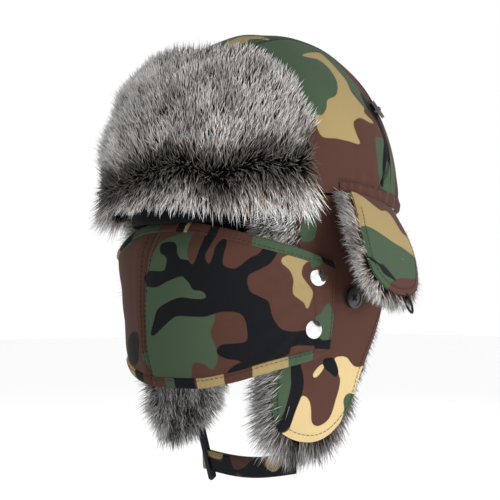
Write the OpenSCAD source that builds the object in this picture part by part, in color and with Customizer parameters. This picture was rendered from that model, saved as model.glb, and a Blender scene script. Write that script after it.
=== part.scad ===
// Trapper hat with a fold-up fur front flap, two fur-lined ear flaps, button-up ear
// covers, a snap-on face mask and a chin strap. The wearer faces -Y, +Z is up, +X is
// the wearer's left. The origin is the centre of the head opening, at the hem.

/* [Crown] */
// Half of the crown's outer width at its widest line
half_w = 88; // [86:1:90]
// Half of the crown's outer length at its widest line
half_l = 110; // [108:1:112]
// Height of the dome above its widest line
rise = 118; // [112:1:122]
// Thickness of the printed outer fabric
fabric_t = 1.6; // [1.2:0.1:1.8]
// Thickness of the wadding between outer fabric and lining
wadding_t = 3.5; // [2.5:0.1:3.6]
// Thickness of the inner lining
lining_t = 1.5; // [1:0.1:1.6]
// Height of the gathered band round the back of the hem
band_h = 10; // [8:0.5:11]

/* [Front flap] */
// Depth of the fur on the front flap
front_pile = 22; // [16:1:24]
// Height of the folded flap above the hem
front_flap_h = 97; // [90:1:98]

/* [Ear flaps] */
// Thickness of an ear flap's printed shell
flap_t = 2.4; // [1.8:0.1:2.4]
// Depth of the fur that lines an ear flap
flap_pile = 21; // [14:1:22]
// Inward lean of an ear flap from the vertical, in degrees
flap_lean = 2; // [2:0.5:3]

/* [Ear covers] */
// Length of an ear cover from its seam to its tip
cover_l = 77; // [74:1:79]
// Outward flare of an ear cover from the vertical, in degrees
cover_flare = 25; // [23:1:28]
// Depth of the fur that lines an ear cover
cover_pile = 9; // [6:1:10]

/* [Mask] */
// Half of the mask's outer width at the snaps
mask_half_w = 89.8; // [89.8:0.1:91]
// Thickness of a mask panel
mask_t = 0.8; // [0.6:0.1:0.9]
// Width of the mask's edge bindings
binding_w = 7; // [6:0.5:8]
// Diameter of a snap's polished cap
snap_cap_d = 12.4; // [11:0.2:13]

/* [Fastenings] */
// Diameter of the sewn-on buttons
button_d = 15; // [13:0.5:15]
// Width of the chin strap
strap_w = 15; // [13:0.5:16]
// Width of the keeper tape that holds the chin strap
keeper_w = 6; // [5:0.5:7]

/* [Hidden] */

big = 400;
gap = 0.3;
smooth = 96;
// The centre band is one wide faceted panel
band_sides = 48;
band_inner = -fabric_t + 0.3;

// Height of the crown's widest line above the origin
spring_z = 9;
// Hem height over the ears, and how far it falls for each mm forward and back
hem_z = 3;
hem_fall_front = 0.05;
hem_fall_back = 0.09;
// The side panels' seams are tilted planes
seam_x = 86;
seam_lean = 0.4;
// The gathered band and its elastic start just ahead of the ears
band_front_y = -8;

// Layers of the crown, as offsets from its outer surface
wadding_out = -fabric_t - gap;
wadding_in = wadding_out - wadding_t;
lining_out = wadding_in - gap;
lining_in = lining_out - lining_t;

olive = [0.22, 0.32, 0.21];
brown = [0.30, 0.18, 0.14];
tan = [0.68, 0.58, 0.36];
navy = [0.08, 0.09, 0.12];
fur_grey = [0.45, 0.42, 0.39];
lining_black = [0.05, 0.05, 0.06];
metal = [0.80, 0.80, 0.82];

// ---- shared shapes ----

module on_right() { mirror([1, 0, 0]) children(); }

// Extrudes a side view, drawn in Y and Z, along X
module along_x() { rotate([90, 0, 90]) linear_extrude(big, center = true) children(); }

module ovoid(off, sides) {
    translate([0, 0, spring_z])
        scale([half_w + off, half_l + off, rise + off]) sphere(r = 1, $fn = sides);
}

module ovoid_shell(outer, inner, sides = smooth) {
    difference() {
        ovoid(outer, sides);
        ovoid(inner, sides);
    }
}

// Everything below the hem line raised by lift
module below_hem(lift) {
    along_x() polygon([
        [-big, hem_z + lift - big * hem_fall_front],
        [0, hem_z + lift],
        [big, hem_z + lift - big * hem_fall_back],
        [big, -big],
        [-big, -big]
    ]);
}

module crown_layer(outer, inner, lift, sides = smooth) {
    difference() {
        ovoid_shell(outer, inner, sides);
        below_hem(lift);
    }
}

// Half width of the centre band at a height
function seam_x_at(z) = seam_x - z * seam_lean;

// The wedge between the two seam planes, which holds the centre band
module between_seams() {
    rotate([90, 0, 0]) linear_extrude(big, center = true) polygon([
        [-seam_x_at(-50), -50], [seam_x_at(-50), -50], [seam_x_at(180), 180], [-seam_x_at(180), 180]
    ]);
}

// ---- crown ----

module crown_centre_band() {
    color(olive) intersection() {
        crown_layer(0, band_inner, 0, band_sides);
        between_seams();
    }
}

module crown_side_panel() {
    color(brown) difference() {
        crown_layer(0, -fabric_t, 0);
        between_seams();
        translate([-big, -big / 2, -big / 2]) cube(big);
    }
}

module crown_wadding() { color("white") crown_layer(wadding_out, wadding_in, band_h + 1); }

module crown_lining() {
    color(lining_black) crown_layer(lining_out, lining_in, gap);
}

// A strip of a crown layer between two heights over the hem, round the back
module back_strip(outer, inner, low, high, front_y) {
    intersection() {
        crown_layer(outer, inner, low);
        below_hem(high);
        translate([-big / 2, front_y, -big / 2]) cube(big);
    }
}

module hem_band() { color(brown) back_strip(2.6, gap, 0, band_h, band_front_y); }

module hem_elastic() { color("white") back_strip(-2.2, -3.4, 1.5, 8.5, band_front_y + 2); }

// ---- sewn-on buttons ----

button_t = 2.4;
button_rim = 1.5;
button_hole_d = 1.8;
button_hole_r = 2;
shank_h = 1.6;

// A four-hole button lying on XY with its shank of thread below it
module button() {
    translate([0, 0, shank_h]) difference() {
        cylinder(d = button_d, h = button_t, $fn = smooth);
        translate([0, 0, button_t - 0.6])
            cylinder(d = button_d - 2 * button_rim, h = 2, $fn = smooth);
        for (turn = [45 : 90 : 315])
            rotate([0, 0, turn]) translate([button_hole_r, 0, -1])
                cylinder(d = button_hole_d, h = 6, $fn = 24);
    }
    cylinder(d = 2.2, h = shank_h, $fn = 24);
}

// The crown's buttons sit where the covers' loops reach when folded up
crown_button_at = [63.8, 52.5, 68];
crown_button_aim = [0, 57, 38];

module crown_button() {
    color(navy) translate(crown_button_at) rotate([0, 0, crown_button_aim[2]])
        rotate([0, crown_button_aim[1], 0]) button();
}

// ---- front flap ----

// Side view of the folded flap; grow widens it all round for the fur
module front_flap_side(grow) {
    polygon([
        [-big, -4 - grow], [-45 + grow, -4 - grow], [-43 + grow, 40], [-47 + grow, 66 + grow / 2],
        [-58 + grow, 86 + grow], [-75 + grow / 2, front_flap_h + grow], [-big, front_flap_h + grow]
    ]);
}

module front_flap_layer(outer, inner, grow) {
    intersection() {
        ovoid_shell(outer, inner);
        along_x() front_flap_side(grow);
        translate([-big / 2, -big, -big / 2]) cube(big);
    }
}

module front_flap_shell() { color(olive) front_flap_layer(5.6, 4, 0); }

module front_flap_fur() { color(fur_grey) front_flap_layer(5.9 + front_pile, 5.9, 10); }

// ---- ear flaps ----

// Side view of an ear flap; grow is how far the fur stands past the edge
module ear_flap_side(grow, top) {
    polygon([
        [-40 - grow, top], [-43 - grow, -45], [-50 - grow, -90], [-55 - grow, -125],
        [-55 - grow, -150], [-50 - grow / 2, -162], [-40, -168 - grow / 4],
        [-27, -170 - grow / 4], [-14, -168 - grow / 4], [-3 + grow / 3, -161 - grow / 4],
        [8 + grow / 2, -148 - grow / 4], [17 + grow / 2, -130], [28 + grow / 2, -111],
        [41 + grow / 2, -91], [50 + grow / 2, -72], [55 + grow / 2, -45], [56 + grow / 2, top]
    ]);
}

module oval_tube(outer, inner) {
    translate([0, 0, -220]) difference() {
        scale([half_w + outer, half_l + outer, 1]) cylinder(r = 1, h = 240, $fn = smooth);
        translate([0, 0, -1])
            scale([half_w + inner, half_l + inner, 1]) cylinder(r = 1, h = 242, $fn = smooth);
    }
}

// Turns an ear flap about the hem by its lean
module leaning() {
    translate([half_w, 0, hem_z]) rotate([0, flap_lean, 0]) translate([-half_w, 0, -hem_z])
        children();
}

module ear_flap_layer(outer, inner, grow, top) {
    leaning() intersection() {
        oval_tube(outer, inner);
        along_x() ear_flap_side(grow, top);
        translate([0, -big / 2, -big / 2]) cube(big);
    }
}

module ear_flap_shell() { color(brown) ear_flap_layer(-gap, -gap - flap_t, 0, -3.5); }

// Room in the fur for the keeper's sewn end
module keeper_room() {
    at_strap() translate([keeper_from_end, 0, 0]) rotate([0, keeper_tilt, 0])
        translate([-keeper_w / 2 - 1, -1.6, 0]) cube([keeper_w + 2, 6.8, 30]);
}

module ear_flap_fur() {
    color(fur_grey) difference() {
        ear_flap_layer(-2 * gap - flap_t, -2 * gap - flap_t - flap_pile, 12, -6);
        on_right() keeper_room();
    }
}

ear_button_at = [85.6, 6, -70];

module ear_flap_button() {
    color(navy) translate(ear_button_at) rotate([0, 0, 3]) rotate([0, 90 + flap_lean, 0])
        button();
}

// ---- snap fasteners ----

// Each snap's place on the ear flap's surface, and the way its axis points
upper_snap_at = [83.4, -26.2, -56];
lower_snap_at = [81.4, -28.6, -92];
snap_turn = -16;

module at_snap(place) { translate(place) rotate([0, 0, snap_turn]) rotate([0, 90, 0]) children(); }

// Male half, on the flap
module snap_stud() {
    translate([0, 0, 0.3]) cylinder(d = 7, h = 0.8, $fn = 48);
    translate([0, 0, 0.2]) cylinder(d = 3.6, h = 2.4, $fn = 48);
    translate([0, 0, 2.1]) cylinder(d = 4.2, h = 0.5, $fn = 48);
}

module ear_flap_studs() {
    color(metal) {
        at_snap(upper_snap_at) snap_stud();
        at_snap(lower_snap_at) snap_stud();
    }
}

cap_h = 1.7;
cap_lift = 5;
socket_lift = 2;

// Female half with its polished cap, on the mask
module snap_cap() {
    cap_r = snap_cap_d / 2;
    dome_r = (cap_r * cap_r + cap_h * cap_h) / (2 * cap_h);
    translate([0, 0, cap_lift]) intersection() {
        cylinder(r = cap_r, h = cap_h + 1, $fn = smooth);
        translate([0, 0, cap_h - dome_r]) sphere(r = dome_r, $fn = smooth);
    }
    translate([0, 0, socket_lift]) difference() {
        cylinder(d = 9, h = 0.8, $fn = 48);
        translate([0, 0, -1]) cylinder(d = 6.4, h = 4, $fn = 48);
    }
    translate([0, 0, socket_lift + 0.8]) cylinder(d = 9, h = 0.4, $fn = 48);
    translate([0, 0, socket_lift + 1]) cylinder(d = 3, h = cap_lift - socket_lift, $fn = 48);
}

module upper_snap() { color(metal) at_snap(upper_snap_at) snap_cap(); }

module lower_snap() { color(metal) at_snap(lower_snap_at) snap_cap(); }

// ---- mask ----

// Distance of the mask's front line ahead of the origin, by height
mask_front = [
    [-140, 99], [-132, 101], [-118, 106], [-106, 109.5], [-76, 111], [-51, 109.5], [-39, 107],
    [-30, 102], [-16, 93], [-10, 90]
];
// Squareness of the mask's plan, by height
mask_square = [[-87, 2], [-63, 2.2], [-51, 2.4], [-36, 2.7], [-10, 2.8]];
// Height of the upper and lower edges, by turn from the centre seam
mask_top = [
    [-90, -47], [-60, -41], [-30, -34], [-12, -21], [0, -17], [16, -19], [39, -25], [57, -31],
    [73, -37], [85, -45], [90, -49]
];
mask_bottom = [
    [-90, -102], [-80, -108], [-60, -114], [-30, -121], [-14, -128], [0, -132], [27, -132],
    [42, -127], [56, -120], [75, -112], [80, -109], [90, -102]
];
// Turn from the centre seam to the end seams and to the tabs' ends
seam_turn_top = 77;
seam_turn_low = 74.5;
tab_turn_top = 86;
tab_turn_low = 80.5;

// Point of the mask's outer surface, moved outward by off
function mask_point(turn, z, off) =
    let(
        n = lookup(z, mask_square),
        s = sin(turn),
        c = cos(turn),
        x = mask_half_w * sign(s) * pow(abs(s), 2 / n),
        y = -lookup(z, mask_front) * pow(abs(c), 2 / n),
        nx = cos(90 - turn) / mask_half_w,
        ny = -cos(turn) / lookup(z, mask_front),
        len = sqrt(nx * nx + ny * ny)
    ) [x + off * nx / len, y + off * ny / len, z];

// Closed sheet between two offsets of a surface; f(u, v, off) gives its points
module curved_sheet(nu, nv, f, outer, inner) {
    n = (nu + 1) * (nv + 1);
    function at(i, j, k) = i * (nv + 1) + j + k * n;
    points = [
        for (off = [outer, inner]) for (i = [0 : nu]) for (j = [0 : nv]) f(i / nu, j / nv, off)
    ];
    faces = [
        for (i = [0 : nu - 1]) for (j = [0 : nv - 1]) each [
            [at(i, j, 0), at(i, j + 1, 0), at(i + 1, j + 1, 0)],
            [at(i, j, 0), at(i + 1, j + 1, 0), at(i + 1, j, 0)],
            [at(i, j, 1), at(i + 1, j + 1, 1), at(i, j + 1, 1)],
            [at(i, j, 1), at(i + 1, j, 1), at(i + 1, j + 1, 1)]
        ],
        for (i = [0 : nu - 1]) each [
            [at(i, 0, 0), at(i + 1, 0, 0), at(i + 1, 0, 1)],
            [at(i, 0, 0), at(i + 1, 0, 1), at(i, 0, 1)],
            [at(i, nv, 0), at(i + 1, nv, 1), at(i + 1, nv, 0)],
            [at(i, nv, 0), at(i, nv, 1), at(i + 1, nv, 1)]
        ],
        for (j = [0 : nv - 1]) each [
            [at(0, j, 0), at(0, j + 1, 1), at(0, j + 1, 0)],
            [at(0, j, 0), at(0, j, 1), at(0, j + 1, 1)],
            [at(nu, j, 0), at(nu, j + 1, 0), at(nu, j + 1, 1)],
            [at(nu, j, 0), at(nu, j + 1, 1), at(nu, j, 1)]
        ]
    ];
    polyhedron(points = points, faces = faces);
}

function blend(a, b, t) = a + (b - a) * t;

// End seam and tab end as turns from the centre, by height fraction v
function seam_at(v) = blend(seam_turn_top, seam_turn_low, v);
function tab_end_at(v) = blend(tab_turn_top, tab_turn_low, v);

edge = binding_w + 0.2;
// Turn by which the lining stops short of the end seams
lining_end = 6;

// Mask region from turn a to turn b at fraction v between the bindings
function mask_region(turn, v, off, top_in, low_in) =
    mask_point(turn, blend(lookup(turn, mask_top) - top_in,
                           lookup(turn, mask_bottom) + low_in, v), off);

module mask_panel(side) {
    f = function(u, v, off)
        mask_region(side * blend(0.15, seam_at(v) - 0.15, u), v, off, edge, edge);
    if (side > 0) curved_sheet(14, 8, f, 0, -mask_t);
    else curved_sheet(14, 8, f, -mask_t, 0);
}

module mask_panel_left() { color(navy) mask_panel(1); }

module mask_panel_right() { color(brown) mask_panel(-1); }

module mask_lining() {
    f = function(u, v, off)
        mask_region(blend(lining_end - seam_at(v), seam_at(v) - lining_end, u), v, off, edge, edge);
    color(lining_black) curved_sheet(28, 8, f, -mask_t - 0.7, -mask_t - 1.3);
}

module mask_top_binding() {
    f = function(u, v, off)
        mask_region(blend(-seam_turn_top, seam_turn_top, u), 0, off, binding_w * v, 0);
    color(olive) curved_sheet(28, 1, f, 0.5, -2);
}

module mask_bottom_binding() {
    f = function(u, v, off)
        mask_region(blend(-seam_turn_low, seam_turn_low, u), 1, off, 0, binding_w * (1 - v));
    color(tan) curved_sheet(28, 1, f, 0.5, -2);
}

// Room in the tab for a snap's post, its socket below and its cap above
module snap_seat(place) {
    at_snap(place) {
        cylinder(d = 3.4, h = 12, $fn = 24);
        cylinder(d = 9.2, h = socket_lift + 1.25, $fn = 48);
        translate([0, 0, cap_lift - 0.05]) cylinder(d = snap_cap_d + 0.4, h = 6, $fn = 48);
    }
}

// End tab, clamped by the snaps
module mask_tab() {
    f = function(u, v, off)
        mask_region(blend(seam_at(v) + 0.8, tab_end_at(v), u), v, off, 1, 1);
    color(brown) difference() {
        curved_sheet(3, 8, f, 0, -1.3);
        snap_seat(upper_snap_at);
        snap_seat(lower_snap_at);
    }
}

// ---- ear covers ----

cover_root = [89.2, 31.4, -2];
cover_turn = 13.3;
cover_drop = -8.6;

module at_cover() {
    translate(cover_root) rotate([0, 0, cover_turn]) rotate([cover_drop, 0, 0])
        rotate([0, -cover_flare, 0]) children();
}

// Where across the cover its tip lies
cover_tip_y = -12;

// Outline of an ear cover in its own Y and Z, hanging from the seam
module cover_side(grow, top) {
    polygon([
        [-35 - grow, top], [22 + grow, top], [27 + grow, -20], [28 + grow, -28],
        [22 + grow, -48], [11 + grow, -66 - grow / 2], [1, -cover_l + 3 - grow],
        [cover_tip_y, -cover_l - grow], [-24, -cover_l - grow], [-37, -cover_l + 4 - grow],
        [-46 - grow, -66], [-48 - grow, -54], [-43 - grow, -28], [-38 - grow, -14]
    ]);
}

module cover_plate(outer, inner, grow, top) {
    translate([inner, 0, 0]) rotate([90, 0, 90]) linear_extrude(outer - inner)
        cover_side(grow, top);
}

module ear_cover_shell() { color(tan) at_cover() cover_plate(1.6, 0, 0, -1); }

module ear_cover_fur() {
    color(fur_grey) difference() {
        at_cover() cover_plate(-gap, -gap - cover_pile, 7, -14);
        leaning() translate([0, 0, -220]) scale([half_w + 0.8, half_l + 0.8, 1])
            cylinder(r = 1, h = 240, $fn = smooth);
        translate(ear_button_at) rotate([0, 90, 0])
            cylinder(d = button_d + 2, h = shank_h + button_t + 2, $fn = 48);
    }
}

loop_cord_d = 1.6;

module ear_cover_loop() {
    color(navy) at_cover() translate([0.8, cover_tip_y, -cover_l - 7.5]) rotate([0, 90, 0])
        scale([1.5, 1, 1]) rotate_extrude($fn = 48) translate([3.6, 0])
            circle(d = loop_cord_d, $fn = 24);
}

// ---- chin strap and its keeper ----

strap_t = 1.2;
strap_len = 144;
strap_end = [72, -31, -183];
// Turn of the strap in plan, and its fall towards the wearer's right, in degrees
strap_turn = 168.5;
strap_fall = 5;
keeper_from_end = 136;
keeper_gap = 2.6;

// Strap frame: X runs from the left flap to the keeper, Y is behind it, Z its width
module at_strap() {
    translate(strap_end) rotate([0, 0, strap_turn]) rotate([0, strap_fall, 0]) children();
}

module strap_bar(from, to, near, far, h) {
    translate([from, near, -h / 2]) cube([to - from, far - near, h]);
}

// The strap turns back round the keeper's rear leg and lies along itself
module chin_strap() {
    turn_r = keeper_gap / 2 + strap_t;
    color(navy) at_strap() {
        strap_bar(0, strap_len, turn_r - strap_t, turn_r, strap_w);
        strap_bar(50, strap_len, -turn_r, strap_t - turn_r, strap_w);
        difference() {
            translate([strap_len, 0, -strap_w / 2]) cylinder(r = turn_r, h = strap_w, $fn = 48);
            translate([strap_len, 0, -strap_w])
                cylinder(r = turn_r - strap_t, h = 2 * strap_w, $fn = 48);
            translate([strap_len - big, -big / 2, -big / 2]) cube(big);
        }
    }
}

module strap_hook_pad() {
    color(lining_black) at_strap() strap_bar(60, 110, 0.05, 1.25, strap_w - 3);
}

module strap_loop_pad() {
    color(navy) at_strap() strap_bar(60, 110, -1.25, -0.05, strap_w - 3);
}

keeper_drop = 16;
keeper_top = 27;
keeper_tilt = 24;

// A narrow tape folded round the strap, sewn to the right ear flap at its top
module strap_keeper() {
    front_y = 3.6;
    color(navy) at_strap() translate([keeper_from_end, 0, 0]) rotate([0, keeper_tilt, 0]) {
        translate([-keeper_w / 2, -0.6, -keeper_drop + 2])
            cube([keeper_w, 1.2, keeper_drop + keeper_top - 2]);
        translate([-keeper_w / 2, front_y - 0.6, -keeper_drop + 2])
            cube([keeper_w, 1.2, keeper_drop + keeper_top - 2]);
        translate([-keeper_w / 2, -0.6, -keeper_drop]) cube([keeper_w, front_y + 1.2, 2]);
        translate([-keeper_w / 2, -0.6, keeper_top - 1]) cube([keeper_w, front_y + 1.2, 2]);
    }
}

crown_centre_band();
crown_side_panel();  // crown_side_panel_left
on_right() crown_side_panel();  // crown_side_panel_right
crown_wadding();
crown_lining();
hem_band();
hem_elastic();
crown_button();  // crown_button_left
on_right() crown_button();  // crown_button_right
front_flap_shell();
front_flap_fur();
ear_flap_shell();  // ear_flap_left_shell
ear_flap_fur();  // ear_flap_left_fur
ear_flap_button();  // ear_flap_left_button
ear_flap_studs();  // ear_flap_left_studs
on_right() ear_flap_shell();  // ear_flap_right_shell
on_right() ear_flap_fur();  // ear_flap_right_fur
on_right() ear_flap_button();  // ear_flap_right_button
on_right() ear_flap_studs();  // ear_flap_right_studs
ear_cover_shell();  // ear_cover_left_shell
ear_cover_fur();  // ear_cover_left_fur
ear_cover_loop();  // ear_cover_left_loop
on_right() ear_cover_shell();  // ear_cover_right_shell
on_right() ear_cover_fur();  // ear_cover_right_fur
on_right() ear_cover_loop();  // ear_cover_right_loop
mask_panel_left();
mask_panel_right();
mask_lining();
mask_top_binding();
mask_bottom_binding();
mask_tab();  // mask_tab_left
on_right() mask_tab();  // mask_tab_right
upper_snap();  // mask_upper_snap_left
on_right() upper_snap();  // mask_upper_snap_right
lower_snap();  // mask_lower_snap_left
on_right() lower_snap();  // mask_lower_snap_right
chin_strap();
strap_hook_pad();
strap_loop_pad();
strap_keeper();
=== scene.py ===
"""The looks of a trapper hat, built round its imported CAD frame.

Lengths are in millimetres until a mesh is made, in the hat's own frame: the wearer faces -Y,
+Z is up and +X is the wearer's left.
"""

import math

import bpy
import numpy as np
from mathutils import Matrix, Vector


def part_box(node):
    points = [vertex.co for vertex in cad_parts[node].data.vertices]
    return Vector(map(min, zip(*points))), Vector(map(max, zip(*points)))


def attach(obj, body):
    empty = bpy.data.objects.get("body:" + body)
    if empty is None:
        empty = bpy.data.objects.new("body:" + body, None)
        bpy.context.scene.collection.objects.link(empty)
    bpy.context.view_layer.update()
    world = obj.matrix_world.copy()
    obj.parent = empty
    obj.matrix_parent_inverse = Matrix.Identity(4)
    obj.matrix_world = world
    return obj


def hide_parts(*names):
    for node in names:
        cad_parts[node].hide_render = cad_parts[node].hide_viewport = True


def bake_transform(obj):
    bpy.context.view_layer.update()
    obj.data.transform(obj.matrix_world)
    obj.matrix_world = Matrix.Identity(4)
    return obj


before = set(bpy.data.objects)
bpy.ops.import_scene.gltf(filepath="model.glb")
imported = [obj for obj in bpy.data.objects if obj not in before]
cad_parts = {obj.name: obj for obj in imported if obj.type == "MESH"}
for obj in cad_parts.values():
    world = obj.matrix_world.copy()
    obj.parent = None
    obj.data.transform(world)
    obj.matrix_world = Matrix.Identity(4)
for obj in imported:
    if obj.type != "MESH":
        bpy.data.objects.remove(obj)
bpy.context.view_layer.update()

MM = 0.001

# ---- sizes that follow the CAD frame ----

CROWN = np.array([88.0, 110.0, 118.0])      # half width, half length, rise
CROWN_CENTRE = np.array([0.0, 0.0, 9.0])
SEAM_X, SEAM_BY_Y, SEAM_BY_Z = 83.2, 0.10, 0.43   # the crown seam's plane
HEM_Z, HEM_FALL_FRONT, HEM_FALL_BACK = 3.0, 0.05, 0.09
BAND_H, BAND_FRONT_Y = 10.0, -8.0
CLOTH_T = 1.4
HINGE_X, FLAP_LEAN = 88.0, math.radians(2)
MASK_HALF_W = 89.8
BINDING_W = 7.0

# ---- colours, linear ----

OLIVE = (0.038, 0.061, 0.035)
BROWN = (0.055, 0.0235, 0.017)
TAN = (0.245, 0.182, 0.082)
# Painted light: the ear flaps' tan is lighter than the tan elsewhere, for the stronger light on the
# flaps; the print itself is the same
FLAP_TAN_PAINTED_LIGHT = (0.430, 0.325, 0.165)
DARK = (0.003, 0.0035, 0.005)
# Pale grey mixed into the print where the weave's relief rises: a painted highlight on the thread
# crests
THREAD_HIGHLIGHT = (0.35, 0.33, 0.30)
PRINT_EDGE = 0.25            # mm over which one colour of the print gives way to the next
BUMP_DEPTH = 0.0002          # metres


# ---- small tools ----

def unit(v):
    """Rows of v at length one."""
    return v / np.maximum(np.linalg.norm(v, axis=-1, keepdims=True), 1e-9)


def smoothstep(a, b, x):
    t = np.clip((x - a) / (b - a), 0, 1)
    return t * t * (3 - 2 * t)


def ripple(points, wavelength, seed, waves=7):
    """A smooth field of about unit size whose bumps are about one wavelength apart."""
    draw = np.random.default_rng(seed)
    total = np.zeros(points.shape[:-1])
    for _ in range(waves):
        way = unit(draw.normal(size=3))
        turn = draw.uniform(0, 2 * math.pi)
        stretch = draw.uniform(0.7, 1.4)
        total += np.sin(points @ way * 2 * math.pi / (wavelength * stretch) + turn)
    return total / math.sqrt(waves / 2)


def run_along(path):
    """How far along a path each of its points is."""
    return np.concatenate([[0], np.cumsum(np.linalg.norm(np.diff(path, axis=0), axis=1))])


def points_at(path, along, at):
    """Values on a path at some distances along it."""
    return np.stack([np.interp(at, along, path[:, k]) for k in range(path.shape[1])], axis=1)


def curve_through(points, count, closed=False):
    """A smooth curve through a few points, evenly spaced."""
    p = np.array(points, float)
    n = len(p)
    fine = []
    for i in range(n if closed else n - 1):
        near = np.arange(i - 1, i + 3)
        a, b, c, d = p[near % n if closed else np.clip(near, 0, n - 1)]
        for t in np.linspace(0, 1, 16, endpoint=False):
            fine.append(0.5 * (2 * b + (c - a) * t + (2 * a - 5 * b + 4 * c - d) * t * t
                               + (3 * b - a - 3 * c + d) * t ** 3))
    fine.append(p[0] if closed else p[-1])
    fine = np.array(fine)
    along = run_along(fine)
    return points_at(fine, along, np.linspace(0, along[-1], count, endpoint=not closed))


def normals_of(sheet):
    """Unit normals of a grid of points, rows by columns."""
    return unit(np.cross(np.gradient(sheet, axis=0), np.gradient(sheet, axis=1)))


def cell_areas(sheet):
    """The area of each cell in a grid of points."""
    across = sheet[1:, :-1] - sheet[:-1, :-1]
    along = sheet[:-1, 1:] - sheet[:-1, :-1]
    return np.linalg.norm(np.cross(across, along), axis=-1)


def side_word(side):
    return "left" if side > 0 else "right"


# ---- meshes ----

def add_mesh(name, points, faces, material, smooth=True):
    mesh = bpy.data.meshes.new(name)
    mesh.from_pydata((np.asarray(points) * MM).tolist(), [], [list(f) for f in faces])
    mesh.update()
    mesh.shade_smooth() if smooth else mesh.shade_flat()
    mesh.materials.append(material)
    obj = bpy.data.objects.new(name, mesh)
    bpy.context.scene.collection.objects.link(obj)
    return obj


def grid_faces(rows, cols, start=0, flip=False, closed=False):
    i, j = np.meshgrid(np.arange(rows - 1), np.arange(cols if closed else cols - 1), indexing="ij")
    a = start + i * cols + j
    b = start + i * cols + (j + 1) % cols
    quads = np.stack([a, b, b + cols, a + cols], axis=-1).reshape(-1, 4)
    return quads[:, ::-1] if flip else quads


def two_sided(outer, inner, rim, across, closed):
    """Points and faces of a sheet with two sides and an edge along its rim."""
    rows, cols = outer.shape[:2]
    n = rows * cols
    points = np.concatenate([outer.reshape(-1, 3), inner.reshape(-1, 3)])
    way = np.cross(outer[1, 0] - outer[0, 0], across)
    flip = np.dot(way, outer[0, 0] - inner[0, 0]) > 0
    after = np.roll(rim, -1)
    side = np.stack([after, rim, rim + n, after + n], axis=-1)
    faces = np.concatenate([grid_faces(rows, cols, 0, flip, closed),
                            grid_faces(rows, cols, n, not flip, closed),
                            side[:, ::-1] if flip else side])
    return points, faces


def closed_sheet(outer, inner):
    """A sheet from two grids of points."""
    rows, cols = outer.shape[:2]
    rim = ([i for i in range(cols)] + [i * cols + cols - 1 for i in range(1, rows)]
           + [(rows - 1) * cols + j for j in range(cols - 2, -1, -1)]
           + [i * cols for i in range(rows - 2, 0, -1)])
    return two_sided(outer, inner, np.array(rim), outer[0, 1] - outer[0, 0], False)


def closed_rings(outer, inner):
    """The same for rings round a middle, whose first row is shrunk almost to a point."""
    rows, cols = outer.shape[:2]
    rim = (rows - 1) * cols + np.arange(cols)
    return two_sided(outer, inner, rim, outer[1, 1] - outer[1, 0], True)


def mesh_points(obj):
    """A piece's points, in millimetres."""
    points = np.zeros(len(obj.data.vertices) * 3, np.float32)
    obj.data.vertices.foreach_get("co", points)
    return points.reshape(-1, 3).astype(float) / MM


def set_field(obj, name, values):
    attribute = obj.data.attributes.new(name, "FLOAT", "POINT")
    attribute.data.foreach_set("value", np.asarray(values, np.float32))


# ---- materials ----

def new_material(name, roughness=0.8, metallic=0.0):
    material = bpy.data.materials.new(name)
    material.use_nodes = True
    shader = material.node_tree.nodes["Principled BSDF"]
    shader.inputs["Roughness"].default_value = roughness
    shader.inputs["Metallic"].default_value = metallic
    return material, material.node_tree.nodes, material.node_tree.links, shader


def add_node(nodes, kind, **values):
    node = nodes.new(kind)
    for key, value in values.items():
        setattr(node, key, value)
    return node


def add_bump(nodes, links, shader, height, strength):
    bump = nodes.new("ShaderNodeBump")
    bump.inputs["Strength"].default_value = strength
    bump.inputs["Distance"].default_value = BUMP_DEPTH
    links.new(height, bump.inputs["Height"])
    links.new(bump.outputs["Normal"], shader.inputs["Normal"])


def map_range(nodes, links, value, ends):
    """Maps a value; ends are the inputs that differ from 0 and 1."""
    node = nodes.new("ShaderNodeMapRange")
    for key, end in ends.items():
        node.inputs[key].default_value = end
    links.new(value, node.inputs["Value"])
    return node.outputs["Result"]


def weave_bump(nodes, links, shader, scale, strength):
    """A fine woven relief from two crossed waves and a little noise."""
    place = nodes.new("ShaderNodeTexCoord")
    warp = add_node(nodes, "ShaderNodeTexWave", bands_direction="DIAGONAL")
    weft = add_node(nodes, "ShaderNodeTexWave", bands_direction="Z")
    grain = nodes.new("ShaderNodeTexNoise")
    for node, times in ((warp, 1.0), (weft, 1.0), (grain, 2.0)):
        node.inputs["Scale"].default_value = scale * times
        links.new(place.outputs["Object"], node.inputs["Vector"])
    mix = add_node(nodes, "ShaderNodeMath", operation="MULTIPLY")
    links.new(warp.outputs["Fac"], mix.inputs[0])
    links.new(weft.outputs["Fac"], mix.inputs[1])
    total = add_node(nodes, "ShaderNodeMath", operation="ADD")
    links.new(mix.outputs[0], total.inputs[0])
    links.new(grain.outputs["Fac"], total.inputs[1])
    add_bump(nodes, links, shader, total.outputs[0], strength)
    return total.outputs[0]


def mix_colour(nodes, links, factor, a, b):
    mix = add_node(nodes, "ShaderNodeMix", data_type="RGBA")
    links.new(factor, mix.inputs[0])
    for socket, value in ((mix.inputs[6], a), (mix.inputs[7], b)):
        if hasattr(value, "links"):
            links.new(value, socket)
        else:
            socket.default_value = (*value, 1)
    return mix.outputs[2]


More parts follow.
